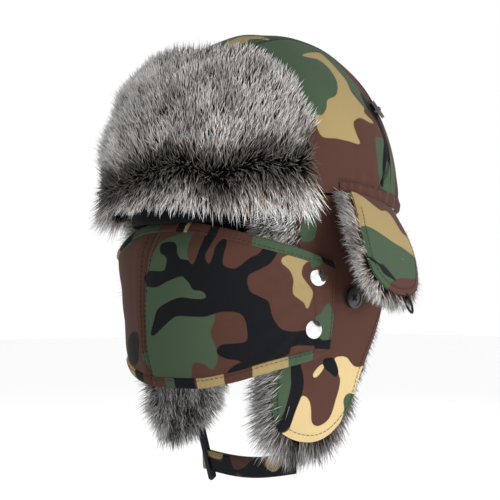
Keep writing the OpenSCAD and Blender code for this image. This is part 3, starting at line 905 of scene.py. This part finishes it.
def make_ear_flap_fur(side, outline):
    """The fur's backing, strands over its face, and longer ones past the flap's free edge."""
    word = side_word(side)
    body = "ear_flap_" + word
    flip = np.array([side, 1, 1])
    inside, s = rings_from_outline(outline, EAR_MIDDLE, 30)
    inside = forward(below(inside, -7))
    back_outer, _ = on_ear_flap(inside, np.full(inside.shape[:2], -3.0))
    out_from_middle = np.broadcast_to(s[:, None], inside.shape[:2])
    back_inner, _ = on_ear_flap(inside, -8.0 + 4.5 * out_from_middle ** 6)
    backing = add_mesh("ear_fur_backing_" + word,
                       *closed_rings(back_outer * flip, back_inner * flip), FUR_BACK)
    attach(backing, body)

    # roots on the face, round the rim, and on the strip ahead of the upper front edge
    draw = np.random.default_rng(40 + side)
    n_face, n_edge, n_ahead = 9600, 8500, 1800
    face = below(inside_places(draw, outline, EAR_MIDDLE, n_face, EAR_POINTS), FUR_TOP)
    spot = (draw.random(n_edge) * 0.97 + 0.015) * (EAR_POINTS - 2)
    rim, out2 = rim_places(outline, EAR_MIDDLE, spot, draw.uniform(0.5, 12, n_edge))
    rim = below(rim, FUR_TOP)
    over = np.stack([draw.uniform(-44, -36, n_ahead), draw.uniform(-76, -8, n_ahead)], axis=1)
    flat = forward(np.concatenate([face, rim, over]))
    flat[-n_ahead:, 0] += draw.uniform(0, 17, n_ahead) * smoothstep(-92, -58, over[:, 1])
    root, out = on_ear_flap(flat, np.full(len(flat), -6.0))
    root[-n_ahead:] += out[-n_ahead:] * 2.6
    on_face = np.arange(len(flat)) < n_face

    # the way they lie: down and forward on the face, outward at the rim
    ahead = np.array([-0.15, -0.55, -0.35])
    front = smoothstep(0, -40, flat[:, 0])[:, None]
    comb = np.where(on_face[:, None], np.array([0, -0.15, -0.55]) + front * ahead, 0.0)
    edge = slice(n_face, n_face + n_edge)
    comb[edge] = np.stack([0 * out2[:, 0] - 0.1, out2[:, 0] * 1.25, out2[:, 1] * 1.25 - 0.45], 1)
    comb[-n_ahead:] = [0.1, -0.9, -0.7]
    high_front = smoothstep(-30, -50, flat[:, 0]) * smoothstep(-85, -60, flat[:, 1])
    comb += high_front[:, None] * np.array([0.55, -0.7, 0.1])
    inward = -out * np.where(on_face, 1.0, 0.45)[:, None]
    inward[-n_ahead:] = 0.35 * out[-n_ahead:]

    at_front = smoothstep(-20, -42, flat[:, 0]) * smoothstep(-15, -60, flat[:, 1])
    at_back = smoothstep(0, 25, flat[:, 0])
    length = np.full(len(flat), 19.0) + 3.0 * at_front - 7.0 * at_back + 5.0 * high_front
    length[n_face:] += 1.5
    length += (5.0 if side > 0 else 0.0) * smoothstep(-140, -160, flat[:, 1])
    tone = 0.22 * ripple(root * [1, 1, 0.35], 16, 17) + 0.10
    obj = pile("ear_flap_pile_" + word, root * flip, inward * flip, comb * flip, length,
               FUR_GREY, 50 + side, 0.85, 0.30, tone, behind_mask)
    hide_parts(body + "_fur")
    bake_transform(obj)


# ---- ear covers ----

COVER_ROOT = np.array([89.2, 31.4, -2.0])
COVER_TURN, COVER_DROP, COVER_FLARE = math.radians(13.3), math.radians(-8.6), math.radians(25)
COVER_L = 72.0
COVER_OUTLINE = [
    (-35, 1), (-38, -14), (-43, -28), (-46, -42), (-48, -55), (-45, -66), (-36, -74), (-23, -77),
    (-9, -76), (2, -73), (10, -68), (17, -59), (22, -48), (26, -38), (28, -26), (26, -12), (22, 1)
]
COVER_MIDDLE = np.array([-10.0, -36.0])
COVER_TIP = (-10, -76)
COVER_POINTS, COVER_STITCH = 180, 4.5


def turn_about(points, axis, angle):
    c, s = math.cos(angle), math.sin(angle)
    x, y, z = points[..., 0], points[..., 1], points[..., 2]
    if axis == "X":
        return np.stack([x, y * c - z * s, y * s + z * c], axis=-1)
    if axis == "Y":
        return np.stack([x * c + z * s, y, -x * s + z * c], axis=-1)
    return np.stack([x * c - y * s, x * s + y * c, z], axis=-1)


def cover_place(points):
    """From the cover's own frame to the hat's."""
    p = turn_about(points, "Y", -COVER_FLARE)
    p = turn_about(p, "X", COVER_DROP)
    return turn_about(p, "Z", COVER_TURN) + COVER_ROOT


def on_cover(places, off):
    """Places on the cover, with a soft bow along it and a cup across it."""
    y, z = places[..., 0], places[..., 1]
    down = np.clip(-z / COVER_L, 0, 1)
    x = 2.0 * np.sin(down * math.pi) - 0.003 * (y + 8) ** 2 * (1 - down) + off
    return np.stack([x, y, z], axis=-1)


# Outlines of the left ear cover's patches, in its own Y and Z
COVER_PRINT = {
    "camo_green": [
        [(-54, -27), (-35, -29), (-23, -32), (-9, -36), (5, -38), (15, -40), (24, -41), (32, -46),
         (17, -58), (2, -62), (-12, -64), (-21, -67), (-28, -70), (-37, -77), (-54, -72)]],
    "camo_tan": [
        [(-52, 3), (-32, 2), (-24, -3), (-17, -7), (-8, -10), (2, -8), (8, -12), (13, -22),
         (21, -25), (26, -31), (25, -41), (15, -40), (5, -38), (-9, -36), (-23, -32), (-35, -29),
         (-54, -27)]],
    "camo_dark": [
        [(-50, -53), (-44, -55), (-38, -58), (-33, -58), (-27, -62), (-20, -68), (-28, -67),
         (-36, -65), (-40, -60), (-46, -57)]]}


def make_ear_cover(side):
    outline = closed_outline(COVER_OUTLINE, COVER_POINTS, 21, -34, 1.0, 30)
    places, _ = rings_from_outline(outline, COVER_MIDDLE, 44)
    make_ear_cover_cloth(side, outline, places)
    make_ear_cover_fur(side, outline, places)
    make_ear_cover_loop(side)


def make_ear_cover_cloth(side, outline, places):
    """The padded cloth, and the stitched line inside its edge."""
    word = side_word(side)
    body = "ear_cover_" + word
    flip = np.array([side, 1, 1])
    away = np.linalg.norm(places - outline[None], axis=-1)
    at_top = smoothstep(-10, -1, places[..., 1])
    groove = stitch_groove(away, COVER_STITCH) * (1 - at_top)
    off = 0.2 + 1.3 * smoothstep(0, COVER_STITCH, away) + groove
    outer = cover_place(on_cover(places, off))
    inner = cover_place(on_cover(places, -1.0))
    cloth = add_mesh("ear_cover_cloth_" + word, *closed_rings(outer * flip, inner * flip), CAMO)
    if side > 0:
        flat = np.concatenate([places.reshape(-1, 2)] * 2)
        print_camo(cloth, flat, COVER_PRINT, np.ones(len(flat)), 2)
    else:
        print_camo(cloth, seed=5)
    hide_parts(body + "_shell")
    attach(cloth, body)

    inset = outline + unit(COVER_MIDDLE - outline) * COVER_STITCH
    row = cover_place(on_cover(inset[8:172], 1.1))
    out = cover_place(on_cover(inset[8:172], 2.1)) - row
    line = stitches("ear_cover_stitches_" + word, [(row * flip, out * flip)], THREAD, 2.2, 1.0, 0.2)
    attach(line, body)


def make_ear_cover_fur(side, outline, places):
    """The fur's backing, strands over its face, and others round its rim."""
    word = side_word(side)
    body = "ear_cover_" + word
    flip = np.array([side, 1, 1])
    back_outer = cover_place(on_cover(places[::2], -1.1))
    back_inner = cover_place(on_cover(places[::2], -3.2))
    backing = add_mesh("cover_fur_backing_" + word,
                       *closed_rings(back_outer * flip, back_inner * flip), FUR_BACK)
    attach(backing, body)

    draw = np.random.default_rng(70 + side)
    n_face, n_edge = 3000, 4200
    face = inside_places(draw, outline, COVER_MIDDLE, n_face, COVER_POINTS)
    spot = draw.random(n_edge) * (COVER_POINTS - 4) + 1
    rim, out2 = rim_places(outline, COVER_MIDDLE, spot, draw.uniform(0.5, 7, n_edge))
    flat = np.concatenate([face, rim])
    comb = np.zeros((len(flat), 3))
    comb[:n_face] = [0, -0.1, -0.45]
    comb[n_face:, 1:] = out2 * 1.1
    inward = np.tile([-1.0, 0, 0], (len(flat), 1))
    inward[n_face:] *= 0.45
    base = cover_place(on_cover(flat, -2.6))
    zero = cover_place(np.zeros(3))
    inward = cover_place(inward) - zero
    comb = cover_place(comb) - zero
    front = smoothstep(8, -24, flat[:, 0])
    long_front = 15.0 * smoothstep(-22, -42, flat[:, 0]) if side < 0 else 0.0
    length = 10.0 + 6.0 * front + long_front
    tone = 0.2 * ripple(base, 14, 23) + 0.12
    obj = pile("ear_cover_pile_" + word, base * flip, inward * flip, comb * flip, length, FUR,
               80 + side, 0.8, 0.30, tone)
    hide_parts(body + "_fur")
    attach(obj, body)


def make_ear_cover_loop(side):
    """The elastic button loop at the tip."""
    word = side_word(side)
    body = "ear_cover_" + word
    turn = np.linspace(-0.25, math.pi * 2 - 0.35, 40)
    loop = np.stack([0.5 * np.sin(turn * 2) - 0.1,
                     COVER_TIP[0] + 4.6 * np.sin(turn) * (1 - 0.25 * np.cos(turn)),
                     COVER_TIP[1] - 5.5 + 7.5 * np.cos(turn)], axis=1)
    cord = tube("ear_cover_elastic_" + word, cover_place(loop) * [side, 1, 1], 0.85, ELASTIC)
    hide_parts(body + "_loop")
    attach(cord, body)


# ---- mask ----

MASK_FRONT = ((-140, -132, -118, -106, -76, -51, -39, -30, -16, -10),
              (99, 101, 106, 109.5, 111, 109.5, 107, 102, 93, 90))
MASK_SQUARE = ((-87, -63, -51, -36, -10), (2, 2.2, 2.4, 2.7, 2.8))
MASK_TOP = ((-90, -60, -30, -12, 0, 16, 39, 57, 73, 85, 90),
            (-47, -41, -34, -21, -17, -19, -25, -31, -37, -45, -49))
MASK_BOTTOM = ((-90, -80, -60, -30, -14, 0, 27, 42, 56, 75, 80, 90),
               (-102, -108, -114, -121, -128, -132, -132, -127, -120, -112, -109, -102))
SEAM_TURNS, TAB_TURNS = (77.0, 74.5), (86.0, 80.5)
MM_PER_TURN = 1.6


def soft_lookup(x, table, reach=3.0):
    """Straight-line lookup, with its corners rounded over a reach."""
    total = 0
    for shift in (-1, -0.5, 0, 0.5, 1):
        total = total + np.interp(x + shift * reach, *table)
    return total / 5


def mask_surface(turn, z, off=0.0):
    n = np.interp(z, *MASK_SQUARE)
    front = soft_lookup(z, MASK_FRONT, 4.0)
    a = np.radians(turn)
    s, c = np.sin(a), np.cos(a)
    x = MASK_HALF_W * np.sign(s) * np.abs(s) ** (2 / n)
    y = -front * np.abs(c) ** (2 / n)
    normal = unit(np.stack([s / MASK_HALF_W, -c / front, 0 * s], axis=-1))
    return np.stack([x, y, z + 0 * x], axis=-1) + normal * np.asarray(off)[..., None]


def behind_mask(points):
    """Draws in places that stand ahead of the mask cloth, between its two edges."""
    x, y, z = points.T
    turn = np.degrees(np.arctan2(x, -y))
    top, low = mask_edges(turn)
    n = np.interp(z, *MASK_SQUARE)
    wide = (np.abs(x) / (MASK_HALF_W - 4)) ** n
    deep = (np.abs(np.minimum(y, 0)) / (soft_lookup(z, MASK_FRONT, 4.0) - 4)) ** n
    over = (wide + deep) ** (1 / n)
    hit = (np.abs(turn) < 72) & (z < top + 3) & (z > low - 3) & (over > 1)
    return points * np.where(hit[:, None], np.stack([1 / over, 1 / over, 1 + 0 * z], 1), 1.0)


def mask_edges(turn):
    return soft_lookup(turn, MASK_TOP, 4.0), soft_lookup(turn, MASK_BOTTOM, 4.0)


def snap_dimple(turn, z):
    """The cloth is drawn down round each snap."""
    low = 0 * z
    for node in ("mask_upper_snap_left", "mask_lower_snap_left"):
        a, b = (np.array(c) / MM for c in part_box(node))
        at = (a + b) / 2
        away = (np.abs(turn) - math.degrees(math.atan2(at[0], -at[1]))) * MM_PER_TURN
        low = low - 1.3 * np.exp(-((away ** 2 + (z - at[2]) ** 2) / 90.0) ** 2)
    return low


def mask_relief(turn, z):
    """Centre seam, the nose dart, the pulls that run in from the snaps, and the dips round the
    snaps.
    """
    centre = -1.0 * np.exp(-(turn / 0.7) ** 2)
    puff = 0.7 * np.exp(-((np.abs(turn) - 4) / 3) ** 2)
    nose = 1.2 * np.exp(-(turn / 12) ** 2) * smoothstep(-48, -24, z)
    pulls = np.zeros_like(turn)
    for snap_z in (-58, -93):
        slope = (z - snap_z) / np.maximum(84 - np.abs(turn), 4)
        window = smoothstep(20, 60, np.abs(turn)) * smoothstep(78, 64, np.abs(turn))
        pulls += 0.5 * np.sin(slope * 9) * window
    return centre + puff + nose + 0.6 * pulls + snap_dimple(turn, z)


# Outlines of the mask panels' patches, by turn from the centre seam in degrees, and height
MASK_PRINT = {
    "camo_green": [
        [(4, -31), (10, -27), (17, -24), (18, -34), (21, -44), (30, -55), (34, -70), (36, -83),
         (34, -94), (36, -104), (36, -112), (33, -119), (30, -115), (26, -114), (24, -118),
         (23, -124), (19, -129), (12, -131), (4, -127), (-3, -112), (0.8, -104), (0.8, -76),
         (0.8, -58), (1.5, -42)],
        [(-14, -33), (-40, -43), (-72, -48), (-76, -38), (-40, -34), (-14, -27)],
        [(-46, -74), (-58, -66), (-70, -72), (-74, -90), (-60, -98), (-48, -88)]],
    "camo_tan": [
        [(64, -47), (65, -43), (70, -41), (75, -42), (79, -44), (75, -46), (73, -49), (72, -55),
         (73, -59), (75, -66), (74, -72), (72, -78), (71, -74), (69, -71), (67, -68), (67, -64),
         (68, -59), (67, -52)],
        [(-38, -104), (-46, -96), (-54, -100), (-50, -114), (-40, -118)]],
    "camo_dark": [
        [(4, -33), (9, -32), (12, -35), (14, -40), (17, -44), (21, -45), (24, -48), (25, -41),
         (25, -29), (26, -18), (31, -18), (30, -35), (29, -42), (31, -47), (32, -48), (33, -42),
         (33, -35), (36, -30), (38, -35), (38, -45), (39, -49), (43, -51), (46, -49), (50, -44),
         (54, -41), (58, -34), (63, -36), (60, -46), (55, -51), (50, -55), (49, -60), (50, -66),
         (53, -69), (57, -73), (58, -81), (59, -87), (62, -92), (68, -93), (80, -90), (80, -102),
         (66, -103), (64, -108), (60, -111), (53, -114), (46, -118), (40, -122), (39, -120),
         (42, -116), (45, -113), (39, -111), (36, -107), (38, -102), (43, -101), (48, -99),
         (48, -89), (47, -83), (44, -80), (38, -80), (32, -83), (25, -83), (19, -83), (14, -88),
         (7, -96), (5, -95), (7, -86), (9, -78), (16, -72), (21, -70), (26, -71), (31, -71),
         (32, -69), (30, -66), (26, -65), (24, -61), (21, -57), (19, -56), (13, -59), (7, -63),
         (1.5, -62), (-0.5, -57), (1.5, -52), (9, -52), (10, -49), (9, -43), (5, -39)],
        [(-6, -94), (-4, -100), (-5, -108), (-8, -114), (-14, -118), (-22, -116), (-20, -104),
         (-14, -96)],
        [(-60, -50), (-66, -46), (-78, -52), (-78, -62), (-68, -62)]]}


def mask_grid(from_turn, to_turn, top_in, low_in, rows, cols, off, relief=True):
    """A grid of the mask between two turns; each end may lean from top to bottom."""
    u = np.linspace(0, 1, rows)[:, None]
    v = np.linspace(0, 1, cols)[None]
    a = from_turn[0] + (from_turn[1] - from_turn[0]) * v
    b = to_turn[0] + (to_turn[1] - to_turn[0]) * v
    turn = a + (b - a) * u
    top, low = mask_edges(turn)
    z = (top - top_in) + ((low + low_in) - (top - top_in)) * v
    lift = mask_relief(turn, z) if relief else 0 * z
    return mask_surface(turn, z, off + lift), turn, z


def finish_mask_piece(obj, body, turn, z, outlines, seed=0):
    flat = np.stack([turn.reshape(-1), z.reshape(-1)], axis=1)
    flat = np.concatenate([flat, flat])
    print_camo(obj, flat, outlines, np.ones(len(flat)), seed, MM_PER_TURN)
    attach(obj, body)


def mask_binding(name, node, upper):
    """A folded edge tape with two rounded sides and a stitched line."""
    cols, rows = 9, 300
    v = np.linspace(0, 1, cols)[None]
    end = SEAM_TURNS[0] if upper else SEAM_TURNS[1]
    turn = np.broadcast_to(np.linspace(-end, end, rows)[:, None], (rows, cols))
    top, low = mask_edges(turn)
    z = top - BINDING_W * v if upper else low + BINDING_W * v
    shape = 0.3 + 1.0 * np.sin(np.clip(0.12 + v * 0.86, 0, 1) * math.pi) ** 0.6
    ruck = 0.12 * np.sin(turn * 2.6 + 1.5 * np.sin(turn * 0.7)) * np.sin(v * math.pi)
    relief = mask_relief(turn, z)
    points = mask_surface(turn, z, shape + ruck + relief * 0.8)
    inside = mask_surface(turn, z, -1.6 + relief * 0.8)
    obj = add_mesh(name, *closed_sheet(points, inside), CAMO)
    finish_mask_piece(obj, "mask", turn, z, MASK_EDGE_PRINT)
    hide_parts(node)
    row = points[:, 6]
    out = unit(points[:, 6] - inside[:, 6])
    return row, out


def band(a, b, low, high):
    """An upright patch between two turns."""
    m = (a + b) / 2
    h = (low + high) / 2
    return [(a, low), (m, low), (b, low), (b, h), (b, high), (m, high), (a, high), (a, h)]


# The same for the mask's edge tapes and tabs
MASK_EDGE_PRINT = {
    "camo_green": [
        band(-12, 0, -45, -8), [(52, -44), (52, -10), (84, -10), (81, -46), (70, -50), (60, -46)],
        band(63, 73, -125, -100), band(9, 14, -140, -118), band(-75, -52, -60, -36),
        [(81, -74), (83, -86), (82, -99), (76, -99), (72, -88), (77, -81)],
        [(84, -38), (90, -50), (87, -50), (85, -44)]],
    "camo_tan": [
        band(12, 14, -30, -8), band(49, 63, -130, -102), band(25, 37, -140, -114),
        band(-58, -14, -140, -104), band(-40, -24, -42, -26)],
    "camo_dark": [
        band(8, 12, -30, -8), band(26, 31, -40, -10), band(14, 24, -140, -116),
        band(-14, -6, -140, -114), band(-20, -13, -42, -18),
        [(82, -99), (82, -105), (76, -105), (68, -103), (68, -92), (74, -93), (77, -99)],
        [(81, -36), (83, -38), (86, -50), (84, -49), (81, -45)]]}


def make_mask_panel(side):
    """One panel, a cloth sheet held stretched by its snaps."""
    word = side_word(side)
    start, stop = (0.0, 0.0), (side * SEAM_TURNS[0], side * SEAM_TURNS[1])
    under = BINDING_W - 1.5
    outer, turn, z = mask_grid(start, stop, under, under, 110, 90, 0.0)
    inner, _, _ = mask_grid(start, stop, under, under, 110, 90, -0.7)
    obj = add_mesh("mask_cloth_" + word, *closed_sheet(outer, inner), CAMO)
    finish_mask_piece(obj, "mask", turn, z, MASK_PRINT)
    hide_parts("mask_panel_" + word)


def make_mask_lining():
    span = (-SEAM_TURNS[0], -SEAM_TURNS[1]), (SEAM_TURNS[0], SEAM_TURNS[1])
    under = BINDING_W - 2
    outer, _, _ = mask_grid(*span, under, under, 150, 40, -1.0)
    inner, _, _ = mask_grid(*span, under, under, 150, 40, -1.6)
    lining = add_mesh("mask_inside_cloth", *closed_sheet(outer, inner), LINING_AND_SHADE)
    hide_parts("mask_lining")
    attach(lining, "mask")


def make_mask_tab(side):
    """A reinforced end. Gives back the row of stitches round it."""
    word = side_word(side)
    start = (side * (SEAM_TURNS[0] - 0.6), side * (SEAM_TURNS[1] - 0.6))
    stop = (side * TAB_TURNS[0], side * TAB_TURNS[1])
    rows, cols = 30, 90
    _, turn, z = mask_grid(start, stop, 0, 0, rows, cols, 0.5, False)
    u = np.linspace(0, 1, rows)[:, None]
    v = np.linspace(0, 1, cols)[None]
    rim = np.minimum(np.minimum(u * 3, (1 - u) * 4), np.minimum(v, 1 - v) * 14)
    outer = mask_surface(turn, z, 0.2 + 0.5 * smoothstep(0, 1, rim) + snap_dimple(turn, z))
    inner = mask_surface(turn, z, -1.2 + snap_dimple(turn, z))
    tab = add_mesh("mask_tab_cloth_" + word, *closed_sheet(outer, inner), CAMO)
    finish_mask_piece(tab, "mask", turn, z, MASK_EDGE_PRINT)
    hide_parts("mask_tab_" + word)
    edge, back = (np.concatenate([sheet[7:27, 4], sheet[26, 4:86], sheet[26:7:-1, 85]])
                  for sheet in (outer, inner))
    return edge, unit(edge - back)


def mask_seam_row(turn_at):
    """A row of stitches beside the centre seam."""
    turn = np.full(60, turn_at)
    top, low = mask_edges(turn)
    z = top - BINDING_W + (low - top + 2 * BINDING_W) * np.linspace(0.02, 0.98, 60)
    path = mask_surface(turn, z, mask_relief(turn, z) + 0.05)
    return path, unit(path - mask_surface(turn, z, mask_relief(turn, z) - 1))


def make_mask():
    for side in (1, -1):
        make_mask_panel(side)
    make_mask_lining()
    rows = [mask_binding("mask_edge_top", "mask_top_binding", True),
            mask_binding("mask_edge_bottom", "mask_bottom_binding", False)]
    rows += [make_mask_tab(side) for side in (1, -1)]
    rows += [mask_seam_row(turn_at) for turn_at in (1.6, -1.6)]
    line = stitches("mask_stitches", rows, THREAD, 2.4, 1.1, 0.2)
    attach(line, "mask")


# ---- chin strap ----

STRAP_END = np.array([72.0, -31.0, -183.0])
STRAP_TURN, STRAP_FALL = math.radians(168.5), math.radians(5)
STRAP_LEN, STRAP_W, STRAP_T = 144.0, 15.0, 1.2
KEEPER_FROM_END, KEEPER_GAP, KEEPER_TILT = 136.0, 2.6, math.radians(24)
KEEPER_DROP, KEEPER_TOP, KEEPER_W = 16.0, 27.0, 6.0


def strap_place(points):
    return turn_about(turn_about(points, "Y", STRAP_FALL), "Z", STRAP_TURN) + STRAP_END


FOLDED_RUN = 300


# Outlines of the strap's patches, by distance from the left flap, and height. On the stretch
# that is folded back, FOLDED_RUN is added to the distance.
STRAP_PRINT = {
    "camo_green": [[(380, -10), (396, -10), (402, 10), (378, 10)]],
    "camo_tan": [
        [(14, 9), (34, 9), (44, 3), (36, -4), (22, -2), (12, 2)],
        [(110, 9), (112, 4), (126, 3), (136, 5), (134, 9)],
        [(137, 10), (160, 10), (160, -10), (137, -10)],
        [(420, 10), (460, 10), (460, -10), (420, -10)]],
    "camo_dark": [
        [(0, 10), (14, 4), (30, -4), (46, 1), (56, 8), (76, 0), (92, -2), (100, 8), (110, 8),
         (112, 2), (136, 2), (136, -10), (92, -10), (88, -4), (64, -10), (0, -10)]]}


def tape_section(line, half_thick, thin, count):
    """Ways out of a tape's line, the steps across it, and its half thickness at each."""
    way = unit(np.gradient(line, axis=0))
    out = np.stack([-way[:, 1], way[:, 0]], axis=1)
    v = np.linspace(-1, 1, count)
    return out, v, half_thick * (1 - thin * np.abs(v) ** 6)


def make_strap():
    """The webbing, folded back on itself past the keeper."""
    turn_r = KEEPER_GAP / 2 + STRAP_T / 2
    bend = np.linspace(math.pi / 2, -math.pi / 2, 18)
    front = np.stack([np.linspace(2, STRAP_LEN, 90), np.full(90, turn_r)], axis=1)
    fold = np.stack([STRAP_LEN + turn_r * np.cos(bend), turn_r * np.sin(bend)], axis=1)[1:-1]
    back = np.stack([np.linspace(STRAP_LEN, 50, 60), np.full(60, -turn_r)], axis=1)
    line = np.concatenate([front, fold, back])
    sag = -5.0 * np.sin(np.clip(line[:, 0] / STRAP_LEN, 0, 1) * math.pi)
    out, v, thick = tape_section(line, STRAP_T / 2, 0.55, 15)

    def side_of(sign):
        flat = line[:, None] + sign * out[:, None] * thick[None, :, None]
        z = STRAP_W / 2 * v[None] + sag[:, None]
        return strap_place(np.stack([flat[..., 0], flat[..., 1], z + 0 * flat[..., 0]], axis=-1))

    outer, inner = side_of(1), side_of(-1)
    obj = add_mesh("chin_strap_webbing", *closed_sheet(outer, inner), CAMO)
    folded = np.arange(len(line)) > len(front) + len(fold) // 2
    run = np.broadcast_to(line[:, :1], (len(line), len(v))) + FOLDED_RUN * folded[:, None]
    across = np.broadcast_to(STRAP_W / 2 * v[None], run.shape)
    flat = np.stack([run, across], axis=-1).reshape(-1, 2)
    print_camo(obj, np.concatenate([flat, flat]), STRAP_PRINT, np.ones(2 * len(flat)), 7)
    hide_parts("chin_strap", "strap_hook_pad", "strap_loop_pad")
    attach(obj, "chin_strap")
    rows = []
    for sheet, other in ((outer, inner), (inner, outer)):
        for col in (2, 12):
            rows.append((sheet[4:88, col], unit(sheet[4:88, col] - other[4:88, col])))
    thread = stitches("strap_stitches", rows, THREAD, 2.2, 1.0, 0.16, 0.05)
    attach(thread, "chin_strap")


def make_keeper():
    """A narrow tape folded round the strap, whose ends run up into the right flap's fur."""
    mid = 1.8
    high, foot = KEEPER_TOP + 4, -KEEPER_DROP + 2
    rear = np.stack([np.full(40, 0.0), np.linspace(high, foot, 40)], axis=1)
    low = np.linspace(math.pi, 2 * math.pi, 14)
    bottom = np.stack([mid - mid * np.cos(low - math.pi), foot + 2.2 * np.sin(low)], axis=1)
    fore = np.stack([np.full(40, 2 * mid), np.linspace(foot, high, 40)], axis=1)
    loop = np.concatenate([rear, bottom[1:-1], fore])
    out, v, thick = tape_section(loop, 0.55, 0.5, 9)

    def tape_side(sign):
        p = loop[:, None] + sign * out[:, None] * thick[None, :, None]
        x = KEEPER_W / 2 * v[None] + 0 * p[..., 0]
        local = turn_about(np.stack([x, p[..., 0], p[..., 1]], axis=-1), "Y", KEEPER_TILT)
        return strap_place(local + [KEEPER_FROM_END, 0, 0])

    keeper = add_mesh("keeper_tape", *closed_sheet(tape_side(1), tape_side(-1)), TAPE)
    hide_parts("strap_keeper")
    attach(keeper, "strap_keeper")


# ---- pieces kept from the CAD frame ----

def make_hardware():
    looks = {"crown_wadding": WADDING, "crown_lining": LINING_AND_SHADE, "hem_elastic": WADDING}
    for side in ("left", "right"):
        looks["crown_button_" + side] = BUTTON
        looks["ear_flap_" + side + "_button"] = BUTTON
        looks["ear_flap_" + side + "_studs"] = CHROME
        looks["mask_upper_snap_" + side] = CHROME
        looks["mask_lower_snap_" + side] = CHROME
    for node, material in looks.items():
        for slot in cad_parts[node].material_slots:
            slot.material = material


def make_button_threads():
    """Crossed threads through each button's four holes."""
    for node, aim in (("crown_button_left", (57, 38)), ("crown_button_right", (57, 38)),
                      ("ear_flap_left_button", (92, 3)), ("ear_flap_right_button", (92, 3))):
        low, high = (np.array(c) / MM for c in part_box(node))
        middle = (low + high) / 2
        side = 1 if middle[0] > 0 else -1
        tip, turn = math.radians(aim[0]), math.radians(aim[1])
        normal = turn_about(turn_about(np.array([0, 0, 1.0]), "Y", tip), "Z", turn)
        across = turn_about(turn_about(np.array([1.0, 0, 0]), "Y", tip), "Z", turn)
        up = np.cross(normal, across)
        face = middle * [side, 1, 1] + normal * 1.5
        paths = []
        for a, b in ((1, 1), (1, -1)):
            way = unit(across * a + up * b)
            t = np.linspace(-2.1, 2.1, 9)
            arch = -0.9 * (np.abs(t) / 2.1) ** 4 + 0.25
            paths.append(face + t[:, None] * way + arch[:, None] * normal)
        rings = [tube_points(p * [side, 1, 1], 0.42, 6) for p in paths]
        points = np.concatenate([r.reshape(-1, 3) for r in rings])
        faces = tube_faces(9, 6) + tube_faces(9, 6, 9 * 6)
        obj = add_mesh(node + "_thread", points, faces, THREAD)
        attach(obj, "crown" if node.startswith("crown") else node.replace("_button", ""))


# ---- studio and camera ----

VIEW_TURN, VIEW_RISE, VIEW_FAR = math.radians(50), math.radians(-2.5), 0.95
VIEW_AIM = Vector((-0.0072, -0.0086, -0.034))
VIEW_LENS, SENSOR = 91.2, 36.0
FLOOR_Z, FLOOR_REACH = -0.280, 6000      # metres; millimetres each way


def area_light(name, place, aim, size, power, colour=(1, 1, 1)):
    light = bpy.data.lights.new(name, "AREA")
    light.shape, light.size, light.energy, light.color = "SQUARE", size, power, colour
    obj = bpy.data.objects.new(name, light)
    obj.location = place
    obj.rotation_mode = "QUATERNION"
    obj.rotation_quaternion = (Vector(aim) - Vector(place)).to_track_quat("-Z", "Y")
    bpy.context.scene.collection.objects.link(obj)


def make_floor():
    floor_material, _, _, shader = new_material("studio_floor", 0.9)
    shader.inputs["Base Color"].default_value = (0.96, 0.96, 0.96, 1)
    corners = [(x * FLOOR_REACH, y * FLOOR_REACH, FLOOR_Z / MM)
               for x, y in ((-1, -1), (1, -1), (1, 1), (-1, 1))]
    floor = add_mesh("studio_floor", corners, [(0, 1, 2, 3)], floor_material, False)


def make_lights():
    world = bpy.data.worlds.new("studio_world")
    world.use_nodes = True
    world.node_tree.nodes["Background"].inputs["Color"].default_value = (1, 1, 1, 1)
    world.node_tree.nodes["Background"].inputs["Strength"].default_value = 1.0
    bpy.context.scene.world = world
    area_light("key", (0.92, 0.05, -0.15), (0.08, 0, -0.14), 0.3, 7.5)
    area_light("fill", (1.2, -1.1, 0.7), (0, 0, -0.03), 1.2, 1.5)
    area_light("back", (-0.7, 1.2, 0.8), (0, 0, 0), 0.8, 2)


def make_camera():
    camera = bpy.data.cameras.new("camera")
    camera.lens, camera.sensor_width = VIEW_LENS, SENSOR
    camera.clip_start, camera.clip_end = 0.01, 50
    eye = bpy.data.objects.new("camera", camera)
    flat = math.cos(VIEW_RISE)
    back = Vector((math.sin(VIEW_TURN) * flat, -math.cos(VIEW_TURN) * flat, math.sin(VIEW_RISE)))
    eye.location = VIEW_AIM + back * VIEW_FAR
    eye.rotation_mode = "QUATERNION"
    eye.rotation_quaternion = (-back).to_track_quat("-Z", "Y")
    bpy.context.scene.collection.objects.link(eye)
    bpy.context.scene.camera = eye
    bpy.context.scene.view_settings.view_transform = "Standard"


make_floor()
make_lights()
make_camera()
make_hardware()
make_button_threads()
make_crown()
make_hem_band()
make_front_flap()
make_brow_painted_shade()
for which in (1, -1):
    make_ear_flap(which)
    make_ear_cover(which)
make_mask()
make_strap()
make_keeper()
